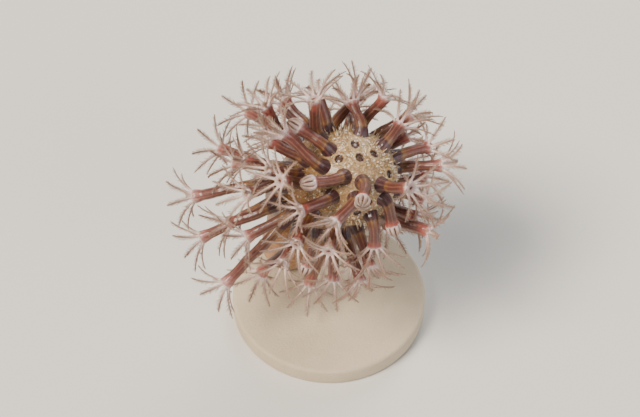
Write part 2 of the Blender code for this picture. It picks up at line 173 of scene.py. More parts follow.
@dataclass
class Club:
    """The bent club of foot, stalk and rachis, with sizes along its middle line from the foot up."""

    foot: tuple[float, float, float] = (-12.0, 12.0, 6.3)
    length: float = 76.0
    lean: float = 44.0
    lean_azimuth: float = -45.0
    lean_starts: float = 10.0
    lean_ends: float = 50.0
    step: float = 0.5
    dome_starts: float = 64.0
    dome_radius: float = 12.2
    widths: Stops = ((0.0, 5.4), (6.5, 7.6), (20.0, 5.9), (38.0, 9.6), (54.0, 12.6), (64.0, 12.2))
    cuts: dict[Node, tuple[float, float]] = field(default_factory=lambda: {
        Node.FOOT: (0.0, 13.0),
        Node.STALK: (13.0, 36.3),
        Node.LOWER: (36.3, 45.7),
        Node.MIDDLE: (45.7, 58.2),
        Node.UPPER: (58.2, 67.2),
        Node.TIP: (67.2, 76.0),
    })
    slope_step: float = 0.05
    slope_turn: float = 1.0
    line: np.ndarray = field(init=False)
    radii: np.ndarray = field(init=False)

    def __post_init__(self) -> None:
        """Lays the middle line and the radius at each of its points."""
        points = [np.array(self.foot)]
        for i in range(int(self.length / self.step)):
            points.append(points[-1] + self.step * self.ways_at((i + 0.5) * self.step)[0])
        self.line = np.array(points)
        self.radii = np.array([self.radius(i * self.step) for i in range(len(points))])

    def ways_at(self, along: float) -> tuple[np.ndarray, np.ndarray, np.ndarray]:
        """The way the body runs at a place, and two ways across it.

        Args:
            along: the place, along the middle line from the foot.

        Returns:
            The way onward, the way across to the side that the body leans to, and the other way across.
        """
        share = smooth((along - self.lean_starts) / (self.lean_ends - self.lean_starts))
        lean = math.radians(self.lean) * share
        level = turned(RIGHT, BACK, math.radians(self.lean_azimuth))
        onward, right = turned(UP, level, lean), turned(level, -UP, lean)
        return onward, right, np.cross(onward, right)

    def radius(self, along: float) -> float:
        """The body's radius at a place, from the widths and then the dome.

        Args:
            along: the place, along the middle line from the foot.

        Returns:
            The radius.
        """
        if along < self.dome_starts:
            return stepped(self.widths, along)
        share = min((along - self.dome_starts) / (self.length - self.dome_starts), 1.0)
        return self.dome_radius * math.sqrt(1.0 - share * share)

    def frame_at(self, along: float) -> tuple[np.ndarray, np.ndarray, np.ndarray]:
        """The middle of the body at a place, and two directions across it.

        Args:
            along: the place, along the middle line from the foot.

        Returns:
            The middle, and the two directions.
        """
        place = min(along / self.step, len(self.line) - 1.001)
        i = int(place)
        middle = self.line[i] + (self.line[i + 1] - self.line[i]) * (place - i)
        return middle, *self.ways_at(along)[1:]

    def direction(self, along: float, azimuth: float, lift: float) -> np.ndarray:
        """The way at an azimuth round the body there and a lift up from across it."""
        onward, right, back = self.ways_at(along)
        return turned(turned(right, back, math.radians(azimuth)), onward, math.radians(lift))

    def skin(self, along: float, azimuth: float) -> np.ndarray:
        """The point of the bare skin there."""
        middle, right, back = self.frame_at(along)
        return middle + self.radius(along) * turned(right, back, math.radians(azimuth))

    def normal(self, along: float, azimuth: float) -> np.ndarray:
        """The skin's outward normal at a place, from its slopes along and round the body.

        Args:
            along: the place, along the middle line from the foot.
            azimuth: its angle round the body.

        Returns:
            The normal.
        """
        along = min(along, self.length - 2.0 * self.slope_step)
        up = self.skin(along + self.slope_step, azimuth) - self.skin(along - self.slope_step, azimuth)
        around = self.skin(along, azimuth + self.slope_turn) - self.skin(along, azimuth - self.slope_turn)
        return unit(np.cross(around, up))

    def patch(self, place: tuple[float, float], angles: np.ndarray) -> tuple[np.ndarray, ...]:
        """The spot of skin that a small round form stands on.

        Args:
            place: the place along and round the body.
            angles: angles round the form, in radians.

        Returns:
            The point of the skin, its normal, and the ways across it at those angles.
        """
        normal = self.normal(*place)
        right, back = carried_frames(normal[None], BACK)
        return self.skin(*place), normal, spokes(angles, right[0], back[0])

    def gap(self, points: np.ndarray) -> float:
        """The least distance from these points to the skin."""
        return (np.linalg.norm(points[:, None] - self.line[None], axis=2) - self.radii).min()

    def cut_gap(self, points: np.ndarray, node: Node) -> float:
        """The least distance from some points to the body on the far side of a node's cuts.

        Args:
            points: the points.
            node: the node that they belong to.

        Returns:
            The distance.
        """
        start, end = self.cuts[node]
        away = np.linalg.norm(points[:, None] - self.line[None], axis=2)
        nearest = away.argmin(axis=1)
        over_skin = away.min(axis=1) - self.radii[nearest]
        along = nearest * self.step
        inside = along - start if end == self.length else np.minimum(along - start, end - along)
        return np.hypot(np.maximum(inside, 0.0), np.maximum(over_skin, 0.0)).min()


@dataclass
class Room:
    """The rods that the polyps placed so far fill, and the clear space kept from them."""

    clearance: float = 0.4
    starts: np.ndarray = field(default_factory=lambda: np.zeros((0, 3)))
    ends: np.ndarray = field(default_factory=lambda: np.zeros((0, 3)))
    radii: np.ndarray = field(default_factory=lambda: np.zeros(0))

    def fill(self, points: np.ndarray, radii: Any) -> None:
        """Adds the rods along a line of points.

        Args:
            points: the points.
            radii: the radius of each rod, or one for all.
        """
        self.starts = np.concatenate([self.starts, points[:-1]])
        self.ends = np.concatenate([self.ends, points[1:]])
        self.radii = np.concatenate([self.radii, np.broadcast_to(radii, len(points) - 1)])

    def is_clear(self, points: np.ndarray, radius: float) -> bool:
        """Whether a rod keeps the clearance from all that is placed.

        Args:
            points: the line of points that it runs along.
            radius: its radius.

        Returns:
            True where it does.
        """
        middle = points.mean(axis=0)
        room = np.linalg.norm(points - middle, axis=1).max() + radius + self.clearance
        halves = (self.ends - self.starts) / 2
        away = np.linalg.norm(self.starts + halves - middle, axis=1) - np.linalg.norm(halves, axis=1)
        near = away - self.radii < room
        if not near.any():
            return True
        gaps = self.gaps(points, self.starts[near], self.ends[near]) - self.radii[near] - radius
        return bool(gaps.min() >= self.clearance)

    @staticmethod
    def gaps(points: np.ndarray, starts: np.ndarray, ends: np.ndarray) -> np.ndarray:
        """Distances between each stretch of one line of points and many rods.

        Args:
            points: the line's points.
            starts: the rods' first ends.
            ends: the rods' last ends.

        Returns:
            The distances, by stretch and rod.
        """
        d1, d2 = (points[1:] - points[:-1])[:, None], (ends - starts)[None]
        r = points[:-1, None] - starts[None]
        a, e, b = (d1 * d1).sum(-1), (d2 * d2).sum(-1), (d1 * d2).sum(-1)
        c, f = (r * d1).sum(-1), (r * d2).sum(-1)
        s = np.clip((b * f - c * e) / np.maximum(a * e - b * b, 1e-12), 0.0, 1.0)
        t = np.clip((b * s + f) / e, 0.0, 1.0)
        s = np.clip((b * t - c) / a, 0.0, 1.0)
        return np.linalg.norm(r + s[..., None] * d1 - t[..., None] * d2, axis=-1)


@dataclass(frozen=True)
class Row:
    """One ring of polyps: its node, its place up the body, how its polyps reach out, and which are shut."""

    node: Node
    along: float
    count: int
    first: float
    reach: float
    lift: float
    seed: int
    shut: tuple[int, ...] = ()


@dataclass(frozen=True)
class Wish:
    """Where one polyp is wanted: its place, how far it turns from there, its reach and its lift."""

    along: float
    azimuth: float
    turn: float
    reach: float
    lift: float


@dataclass(frozen=True)
class Tentacle:
    """One tentacle: its place round the crown, the angles it bends between, its length and its swing."""

    around: float
    first: float
    last: float
    length: float
    swing: float


@dataclass(frozen=True)
class PolypSizes:
    """The sizes that all polyps share: the tube's radii from skin to rim, its curve, crown and tentacles."""

    radii: Stops = ((0.0, 1.9), (0.32, 1.5), (0.6, 1.35), (0.86, 1.45), (1.0, 1.85))
    # How strongly the tube keeps to the skin's normal and to the crown's way, as shares of its reach
    rise: float = 0.38
    bend: float = 0.30
    nod: float = 8.0
    nod_ease: float = 0.25
    way_step: float = 0.02
    rim: float = 1.85
    disc: float = 1.25
    disc_height: float = 0.75
    tentacles: int = 8
    sector: float = 45.0
    length: float = 8.4
    shut_length: float = 3.8
    folded_length: float = 3.0
    radius: float = 0.5
    steps: int = 12
    stride: int = 4
    open_angles: tuple[float, float] = (48.0, 78.0)
    shut_angles: tuple[float, float] = (24.0, -64.0)
    folded_angles: tuple[float, float] = (20.0, -50.0)


SIZES = PolypSizes()


@dataclass
class Polyp:
    """One polyp: its row, its root on the skin, the head that its tube runs to, and its crown."""

    row: int
    root: np.ndarray
    normal: np.ndarray
    head: np.ndarray
    facing: np.ndarray
    roll: float = 0.0
    is_shut: bool = False
    tentacles: list[Tentacle] = field(default_factory=list)

    def tube(self, share: float) -> np.ndarray:
        """The point a share of the way from the skin to the rim.

        Args:
            share: the share.

        Returns:
            The point, on a curve that leaves the skin along its normal and ends the way the crown faces.
        """
        reach = np.linalg.norm(self.head - self.root)
        first = self.root + self.normal * reach * SIZES.rise
        second = self.head - self.facing * reach * SIZES.bend
        t, s = share, 1.0 - share
        return s**3 * self.root + 3 * s * s * t * first + 3 * s * t * t * second + t**3 * self.head

    def tube_points(self) -> np.ndarray:
        """The points of the tube where its radius is set."""
        return np.array([self.tube(share) for share, _ in SIZES.radii])

    def tube_way(self, share: float) -> np.ndarray:
        """The way the tube runs there."""
        return unit(self.tube(share + SIZES.way_step) - self.tube(share - SIZES.way_step))

    def across(self) -> tuple[np.ndarray, np.ndarray]:
        """Two ways across the crown."""
        level = unit(np.cross(self.facing, UP))
        return level, np.cross(self.facing, level)

    def spoke(self, around: float) -> np.ndarray:
        """A way across the crown, at an angle round it."""
        return turned(*self.across(), math.radians(around))

    def tentacle_root(self, tentacle: Tentacle) -> np.ndarray:
        """The middle of a tentacle's root, between the disc and the rim."""
        across = self.spoke(tentacle.around) * (SIZES.rim + SIZES.disc) / 2
        return self.head + across + self.facing * SIZES.disc_height / 2

    def tentacle_line(self, tentacle: Tentacle) -> np.ndarray:
        """Points along a tentacle as the solids have it.

        Args:
            tentacle: the tentacle.

        Returns:
            The points, from the middle of its root to its tip.
        """
        way = self.spoke(tentacle.around + tentacle.swing)
        shares = (np.arange(SIZES.steps) + 0.5) / SIZES.steps
        bends = np.radians(tentacle.first + (tentacle.last - tentacle.first) * shares)
        reached = walked(spokes(bends, self.facing, way)) * tentacle.length / SIZES.steps
        return (self.tentacle_root(tentacle) + reached)[::SIZES.stride]


def nearest_first(*choices: Sequence[float]) -> list[tuple[float, ...]]:
    """Every choice of one shift from each list, the smallest in all first."""
    return sorted(itertools.product(*choices), key=lambda shifts: (sum(map(abs, shifts)), shifts))


@dataclass
class Colony:
    """Where the polyps stand and how each is bent clear of the others, row by row."""

    club: Club
    rows: tuple[Row, ...] = (
        Row(Node.LOWER, 39.4, 6, 79.0, 19.8, -45.0, 2749),
        Row(Node.LOWER, 42.8, 6, 290.0, 23.3, -40.0, 6697),
        Row(Node.MIDDLE, 48.6, 7, 265.0, 14.0, -25.0, 5309, shut=(1,)),
        Row(Node.MIDDLE, 52.0, 7, 348.0, 14.1, 26.0, 9),
        Row(Node.MIDDLE, 55.4, 7, 175.0, 14.0, -20.0, 7),
        Row(Node.UPPER, 61.1, 6, 166.0, 12.0, 15.0, 7164),
        Row(Node.UPPER, 64.5, 6, 69.0, 11.7, 28.0, 8878),
        Row(Node.TIP, 70.0, 6, 270.0, 9.0, -10.0, 7410, shut=(5,)),
        Row(Node.TIP, 73.2, 3, 118.0, 8.0, 0.0, 2882, shut=(1, 2)),
        Row(Node.TIP, 69.4, 1, 215.0, 13.0, -5.0, 3),
        Row(Node.UPPER, 63.5, 1, 222.0, 10.5, -8.0, 3),
        Row(Node.TIP, 75.4, 1, 273.0, 10.0, 36.0, 384, shut=(0,)),
        Row(Node.TIP, 75.4, 1, 353.0, 11.4, 93.0, 266),
        Row(Node.TIP, 73.9, 1, 272.0, 9.8, 20.0, 86),
    )
    vary_around: float = 8.0
    vary_along: float = 0.5
    vary_turn: float = 14.0
    vary_reach: float = 0.15
    vary_lift: float = 14.0
    vary_spread: float = 9.0
    vary_tentacle: float = 6.0
    vary_curl: float = 14.0
    vary_shut: float = 0.25
    node_gap: float = 0.3
    free_length: float = 5.0
    # The length and the radius that a crown keeps clear, and how near a tentacle comes to the floor
    crown_room: tuple[float, float] = (2.5, 2.55)
    lowest: float = 8.0
    # What is tried where the wanted place isn't clear. The reach's shifts are hundredths of it
    slides: tuple[float, ...] = (0, -8, 8, -16, 16, -24, 24)
    turn_shifts: tuple[float, ...] = (0, -7, 7, -14, 14, -21, 21, -28, 28)
    lift_shifts: tuple[float, ...] = (0, -7, 7, -14, 14, -21, 21)
    reach_shifts: tuple[float, ...] = (0, -8, 8, -16)
    tentacle_shifts: tuple[float, ...] = (0, -12, 12, -24, 24, -38, 38)
    swing_shifts: tuple[float, ...] = (0, -9, 9)
    trims: tuple[float, ...] = (1.0, 0.8, 0.62, 0.48)
    mounds: int = 12
    mound_spacing: float = 3.7
    mound_margin: float = 2.2
    spiral_steps: int = 400
    spiral_top: float = 75.1
    spiral_drop: float = 16.0
    golden_angle: float = 137.508
    room: Room = field(default_factory=Room)
    polyps: list[Polyp] = field(default_factory=list)

    def grow(self) -> None:
        """Places every polyp, from the lowest row up."""
        rods = np.array([(low + high) / 2 for (_, low), (_, high) in itertools.pairwise(SIZES.radii)])
        for number, row in enumerate(self.rows):
            draw = random.Random(row.seed)
            wishes = [self.wish(row, i, draw) for i in range(row.count)]
            for i, wish in enumerate(wishes):
                polyp = self.place(number, wish, rods.max())
                if polyp is None:
                    continue
                polyp.is_shut = i in row.shut
                self.grow_tentacles(polyp, draw)
                self.room.fill(polyp.tube_points(), rods)
                for tentacle in polyp.tentacles:
                    self.room.fill(polyp.tentacle_line(tentacle), SIZES.radius)
                self.polyps.append(polyp)

    def wish(self, row: Row, i: int, draw: random.Random) -> Wish:
        """Where a polyp is wanted, from its even share of the ring and small changes.

        Args:
            row: its row.
            i: its number in the row.
            draw: gives the changes.

        Returns:
            The wish.
        """
        azimuth = row.first + 360.0 * i / row.count + either_way(draw, self.vary_around)
        along = row.along + either_way(draw, self.vary_along)
        turn = either_way(draw, self.vary_turn)
        reach = row.reach * (1.0 + either_way(draw, self.vary_reach))
        return Wish(along, azimuth, turn, reach, row.lift + either_way(draw, self.vary_lift))

    def place(self, number: int, wish: Wish, rod: float) -> Optional[Polyp]:
        """The polyp whose root and tube are clear of the others, slid and turned if need be.

        Args:
            number: its row's number.
            wish: where it is wanted.
            rod: the radius that its tube is tested with.

        Returns:
            The polyp, or None where no place is clear.
        """
        club, widest, node = self.club, SIZES.radii[0][1], self.rows[number].node
        tries = nearest_first(self.turn_shifts, self.lift_shifts, self.reach_shifts)
        for slide in self.slides:
            root, normal = (of(wish.along, wish.azimuth + slide) for of in (club.skin, club.normal))
            if not self.room.is_clear(np.array([root, root + normal]), widest):
                continue
            for more_turn, more_lift, longer in tries:
                heading, lift = wish.azimuth + wish.turn + more_turn, wish.lift + more_lift
                aim = club.direction(wish.along, heading, lift)
                nod = club.direction(wish.along, heading, lift - SIZES.nod)
                head = root + wish.reach * (1.0 + longer / 100.0) * aim
                polyp = Polyp(number, root, normal, head, unit(nod + SIZES.nod_ease * aim))
                points = polyp.tube_points()
                free = points[np.linalg.norm(points - root, axis=1) > self.free_length]
                crown = np.array([head, head + self.crown_room[0] * polyp.facing])
                if (
                    club.gap(free) >= widest + self.room.clearance
                    and club.cut_gap(points, node) >= widest + self.node_gap / 2
                    and self.room.is_clear(points, rod)
                    and self.room.is_clear(crown, self.crown_room[1])
                ):
                    return polyp
        return None

    def grow_tentacles(self, polyp: Polyp, draw: random.Random) -> None:
        """Gives a polyp its ring of tentacles.

        Args:
            polyp: the polyp.
            draw: gives their small changes.
        """
        angles, length, vary = SIZES.open_angles, SIZES.length, 1.0
        if polyp.is_shut:
            angles, length, vary = SIZES.shut_angles, SIZES.shut_length, self.vary_shut
        spread = vary * either_way(draw, self.vary_spread)
        polyp.roll = draw.uniform(0.0, SIZES.sector)
        for k in range(SIZES.tentacles):
            first = angles[0] + spread + vary * either_way(draw, self.vary_tentacle)
            last = angles[1] + first - angles[0] + vary * either_way(draw, self.vary_curl)
            wanted = Tentacle(polyp.roll + SIZES.sector * k, first, last, length, 0.0)
            polyp.tentacles.append(self.clear_tentacle(polyp, wanted))

    def clear_tentacle(self, polyp: Polyp, wanted: Tentacle) -> Tentacle:
        """A tentacle that is clear of other polyps, of the skin and of the base.

        Args:
            polyp: the polyp that it stands on.
            wanted: the tentacle as wanted.

        Returns:
            It, or one that is bent, swung, shortened or at last folded in.
        """
        shifts = nearest_first(self.tentacle_shifts, self.swing_shifts)
        for trim, (bend, swing) in itertools.product(self.trims, shifts):
            first, last = wanted.first + bend / 3, wanted.last + bend
            found = Tentacle(wanted.around, first, last, wanted.length * trim, swing)
            line = polyp.tentacle_line(found)
            off_skin = self.club.gap(line[1:]) >= SIZES.radius + self.room.clearance
            if off_skin and line[:, 2].min() >= self.lowest and self.room.is_clear(line, SIZES.radius):
                return found
        return Tentacle(wanted.around, *SIZES.folded_angles, SIZES.folded_length, 0.0)

    def spiral(self, top: float, drop: float, steps: int) -> Iterator[tuple[float, float]]:
        """Places along and round the body on a golden-angle spiral down from the tip."""
        return ((top - drop * i / steps, i * self.golden_angle) for i in range(steps))

    def mound_places(self) -> list[tuple[float, float]]:
        """Finds room for the drawn-in polyps, clear of the other roots and of the cuts.

        Returns:
            Their places along and round the body.
        """
        found: list[tuple[float, float]] = []
        taken = [polyp.root for polyp in self.polyps]
        for along, azimuth in self.spiral(self.spiral_top, self.spiral_drop, self.spiral_steps):
            point = self.club.skin(along, azimuth)
            start, end = next(cut for cut in self.club.cuts.values() if cut[0] <= along <= cut[1])
            margin = min(along - start, end - along if end < self.club.length else self.club.length)
            clear = min(np.linalg.norm(point - other) for other in taken)
            if margin < self.mound_margin or clear < self.mound_spacing:
                continue
            taken.append(point)
            found.append((along, azimuth))
            if len(found) == self.mounds:
                break
        return found


@dataclass
class Tissue:
    """A growing mesh of quads with two UV maps: OFBake for its baked texture, and Tissue for its finish.

    Tissue runs round a form along U, in turns, and from its root to its end along V.
    """

    name: str
    points: list[np.ndarray] = field(default_factory=list)
    quads: list[np.ndarray] = field(default_factory=list)
    bake: list[np.ndarray] = field(default_factory=list)
    tissue: list[np.ndarray] = field(default_factory=list)
    count: int = 0

    def add_tubes(
        self, points: np.ndarray, patches: np.ndarray, along: np.ndarray, closed_root: bool = False
    ) -> None:
        """Adds tubes that are all of one number of rings and sides, each closed at its end.

        Args:
            points: their points, by tube, ring and side.
            patches: for each tube, the corner and the size of its place on the bake map.
            along: for each tube and ring, its value along the second map.
            closed_root: whether the first ring is closed too.
        """
        tubes, rings, sides = points.shape[:3]
        ring, side = np.meshgrid(np.arange(rings - 1), np.arange(sides), indexing="ij")
        ring_at = np.stack([ring, ring, ring + 1, ring + 1], -1).reshape(-1, 4)
        side_at = np.stack([side, side + 1, side + 1, side], -1).reshape(-1, 4)
        cap = np.arange(sides // 2 - 1)
        cap_sides = np.stack([cap, cap + 1, sides - 2 - cap, sides - 1 - cap], -1)
        ends = [(rings - 1, cap_sides)] + ([(0, cap_sides[:, ::-1])] if closed_root else [])
        for end, corners in ends:
            ring_at = np.concatenate([ring_at, np.full(corners.shape, end)])
            side_at = np.concatenate([side_at, corners])
        starts = self.count + np.arange(tubes)[:, None, None] * rings * sides
        self.quads.append((starts + ring_at * sides + side_at % sides).reshape(-1, 4))
        share = np.stack([side_at / sides, ring_at / (rings - 1)], -1)
        self.bake.append((patches[:, None, None, :2] + patches[:, None, None, 2:] * share).reshape(-1, 2))
        turns = np.broadcast_to(side_at / sides, (tubes, *side_at.shape))
        self.tissue.append(np.stack([turns, along[:, ring_at]], -1).reshape(-1, 2))
        self.points.append(points.reshape(-1, 3))
        self.count += tubes * rings * sides

    def to_piece(self, finish: bpy.types.Material, slot: Slot, nodes: Iterable[Node] = ()) -> None:
        """Makes the mesh an object that rides on the body.

        Args:
            finish: its material.
            slot: the record's material slot; not used.
            nodes: the solids' nodes that it stands for.
        """
        points, quads = np.concatenate(self.points) * MM, np.concatenate(self.quads)
        mesh = bpy.data.meshes.new(self.name)
        mesh.vertices.add(len(points))
        mesh.vertices.foreach_set("co", points.ravel())
        mesh.loops.add(quads.size)
        mesh.loops.foreach_set("vertex_index", quads.ravel())
        mesh.polygons.add(len(quads))
        mesh.polygons.foreach_set("loop_start", np.arange(0, quads.size, 4))
        for label, values in (("OFBake", self.bake), ("Tissue", self.tissue)):
            layer = mesh.uv_layers.new(name=label)
            layer.uv.foreach_set("vector", np.concatenate(values).ravel())
        mesh.update(calc_edges=True)
        mesh.shade_smooth()
        mesh.materials.append(finish)
        piece = bpy.data.objects.new(self.name, mesh)
        bpy.context.scene.collection.objects.link(piece)
        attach(piece, BODY)
        if nodes:
            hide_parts(*[node.value for node in nodes])
        log.info("%s: %d faces", self.name, len(quads))


WHOLE_MAP = np.array([[0.005, 0.005, 0.99, 0.99]])


class Canvas:
    """A material's node tree, and the sockets that its patterns are laid out by.

    place is the place in the scene in metres, around is the share of a turn round the form, and along is the
    share of the way up it.
    """

    def __init__(self, tree: bpy.types.NodeTree) -> None:
        """Adds the nodes of those sockets.

        Args:
            tree: the material's tree.
        """
        self.tree = tree
        self.place = self.add("TexCoord", {}, out="Object")
        self.around = self.add("SeparateXYZ", {0: self.add("UVMap", {}, uv_map="Tissue")})
        self.along = self.around.node.outputs["Y"]

    def add(self, kind: str, links: dict, stops: Run = (), out: Any = 0, **settings: Any) -> Socket:
        """Adds a node to the tree.

        Args:
            kind: the node's type, without the words that all these types start with.
            links: for an input's name or number, the socket linked to it or the value set on it.
            stops: for a colour ramp, its places and hex colours or grey values.
            out: the name or number of the output that is wanted.
            settings: the node's own settings.

        Returns:
            That output.
        """
        node = self.tree.nodes.new("ShaderNode" + kind)
        for name, value in settings.items():
            setattr(node, name, value)
        for key, value in links.items():
            if isinstance(value, Socket):
                self.tree.links.new(value, node.inputs[key])
            else:
                node.inputs[key].default_value = value
        for i, (place, value) in enumerate(stops):
            element = node.color_ramp.elements[i] if i < 2 else node.color_ramp.elements.new(place)
            element.position = place
            element.color = linear(value) if isinstance(value, str) else (value, value, value, 1.0)
        return node.outputs[out]


@dataclass(frozen=True)
class Finish:
    """What every finish has: its name and the values that are the same all over the surface.

    All but the stone are living tissue, grown and kept wet. Its IOR is a little above that of sea water.
    """

    name: str
    roughness: float = 0.5
    roughness_swing: float = 0.16
    ior: float = 1.4
    specular: float = 0.5
    coat: float = 0.0
    coat_roughness: float = 0.1
    subsurface: float = 0.0
    depth: tuple[float, float, float] = (1.0, 0.5, 0.3)
    bump: float = 0.5
    bump_depth: float = 0.1

    def build(self) -> bpy.types.Material:
        """Makes the material, with the colour, roughness and height that the finish paints.

        Returns:
            The material.
        """
        material = bpy.data.materials.new(self.name)
        material.use_nodes = True
        on = Canvas(material.node_tree)
        colour, height = self.paint(on)
        lowest = self.roughness - self.roughness_swing / 2
        rough = on.add("Math", {0: height, 1: self.roughness_swing, 2: lowest},
                       operation="MULTIPLY_ADD", use_clamp=True)
        bump = on.add("Bump", {"Strength": self.bump, "Distance": self.bump_depth * MM, "Height": height})
        shader = on.tree.nodes["Principled BSDF"]
        settings = {
            "IOR": self.ior,
            "Specular IOR Level": self.specular,
            "Coat Weight": self.coat,
            "Coat Roughness": self.coat_roughness,
            "Subsurface Weight": self.subsurface,
            "Subsurface Radius": self.depth,
            "Subsurface Scale": MM,
        }
        for key, value in settings.items():
            shader.inputs[key].default_value = value
        for key, socket in (("Base Color", colour), ("Roughness", rough), ("Normal", bump)):
            on.tree.links.new(socket, shader.inputs[key])
        return material

    def paint(self, on: Canvas) -> tuple[Socket, Socket]:
        """Paints the surface.

        Args:
            on: the material's canvas.

        Returns:
            The sockets of the surface's colour and height.
        """
        raise NotImplementedError


@dataclass(frozen=True)
class PolypWall(Finish):
    """Muscle tissue of the tubes, grown in eight bands: dark brown, amber, red-brown and a pale crown."""

    # A film of slime gives the tubes a soft glint. The pale lines between the bands show how they bend.
    line_colours: tuple[str, ...] = (
        "#6c4c49", "#70504b", "#6b4944", "#a07c4e", "#906640", "#8c5f48", "#895a48", "#946151",
        "#a9766c", "#c29e95", "#dccac4", "#cdb6ae", "#9a6c5c", "#43201a",
    )
    field_colours: tuple[str, ...] = (
        "#3f262a", "#3c2226", "#3a1e22", "#6a4327", "#5d3525", "#542c26", "#4f2723", "#5f332d",
        "#7d463f", "#a2756c", "#cbb2ac", "#b0968e", "#744638", "#2e1411",
    )
    places: tuple[float, ...] = (
        0.0, 0.07, 0.13, 0.175, 0.22, 0.28, 0.46, 0.56, 0.615, 0.655, 0.69, 0.84, 0.93, 1.0,
    )
    span: float = 1.5
    lines: int = 8
    fine_lines: int = 27
    line_edge: float = 4.0
    fine_share: float = 0.5
    mottle: float = 0.9
    mottle_reach: float = 0.10
    flush: str = "#a34a3a"
    flush_places: Stops = ((0.76, 0.0), (0.90, 1.0), (0.98, 0.7), (1.0, 0.0))
    flush_in_some: Stops = ((0.48, 0.0), (0.58, 0.6))
    drift: float = 11.0
    drift_reach: float = 0.22
    drift_fades: Stops = ((0.45, 1.0), (0.80, 0.0))

    def paint(self, on: Canvas) -> tuple[Socket, Socket]:
        """Lines along the tube between two colour runs, broken by a mottle, and a flush under some crowns.

        Args:
            on: the material's canvas.

        Returns:
            The sockets of the surface's colour and height.
        """
        add, place, around, along = on.add, on.place, on.around, on.along
        mottle = add("TexNoise", {"Vector": place, "Scale": per_mm(self.mottle), "Detail": 4.0})
        drift = add("TexNoise", {"Vector": place, "Scale": per_mm(self.drift), "Detail": 1.0})
        shifted = add("Math", {0: mottle, 1: self.mottle_reach, 2: -self.mottle_reach / 2},
                      operation="MULTIPLY_ADD")
        centred = add("Math", {0: drift, 1: 0.5}, operation="SUBTRACT")
        near_root = add("ValToRGB", {"Fac": along}, self.drift_fades)
        moved = add("Math", {0: centred, 1: near_root}, operation="MULTIPLY")
        whole = add("Math", {0: moved, 1: self.drift_reach, 2: shifted}, operation="MULTIPLY_ADD")
        run_at = add("Math", {0: along, 1: 1.0 / self.span, 2: whole}, operation="MULTIPLY_ADD")
        waves = []
        for count in (self.lines, self.fine_lines):
            turn = add("Math", {0: around, 1: TURN * count}, operation="MULTIPLY")
            wave = add("Math", {0: turn}, operation="COSINE")
            waves.append(add("Math", {0: wave, 1: 0.5, 2: 0.5}, operation="MULTIPLY_ADD"))
        broad = add("Math", {0: waves[0], 1: self.line_edge}, operation="POWER")
        mixed = add("Math", {0: waves[1], 1: self.fine_share, 2: broad}, operation="MULTIPLY_ADD")
        pale = add("Math", {0: mixed, 1: mottle}, operation="MULTIPLY", use_clamp=True)
        dark_run, pale_run = (
            add("ValToRGB", {"Fac": run_at}, tuple(zip(self.places, colours)))
            for colours in (self.field_colours, self.line_colours)
        )
        under_crown = add("ValToRGB", {"Fac": along}, self.flush_places)
        in_some = add("ValToRGB", {"Fac": drift}, self.flush_in_some)
        flushed = add("Math", {0: under_crown, 1: in_some}, operation="MULTIPLY")
        colour = add("Mix", {0: pale, 6: dark_run, 7: pale_run}, out=2, data_type="RGBA")
        colour = add("Mix", {0: flushed, 6: colour, 7: linear(self.flush)}, out=2, data_type="RGBA")
        return colour, add("Math", {0: mixed, 1: mottle}, operation="ADD")


@dataclass(frozen=True)
class TentacleTissue(Finish):
    """Thin tissue of the tentacles, grown round a core of water: lilac white, fading to tan at the tips."""

    # Light goes into it, so the edges are soft, and a fine speckle shows the cells that colour it.
    run: Run = ((0.0, "#dfcbc6"), (0.20, "#cbb0a8"), (0.45, "#ae9083"), (0.75, "#957b6d"), (1.0, "#80695b"))
    speckle: float = 0.35
    speckle_reach: float = 0.35
    speckle_middle: float = 0.17

    def paint(self, on: Canvas) -> tuple[Socket, Socket]:
        """The run of colour from root to tip, with pale specks.

        Args:
            on: the material's canvas.

        Returns:
            The sockets of the surface's colour and height.
        """
        add, place, along = on.add, on.place, on.along
        speck = add("TexNoise", {"Vector": place, "Scale": per_mm(self.speckle), "Detail": 2.0})
        moved = add("Math", {0: speck, 1: self.speckle_reach, 2: along}, operation="MULTIPLY_ADD")
        run_at = add("Math", {0: moved, 1: self.speckle_middle}, operation="SUBTRACT")
        return add("ValToRGB", {"Fac": run_at}, self.run), speck


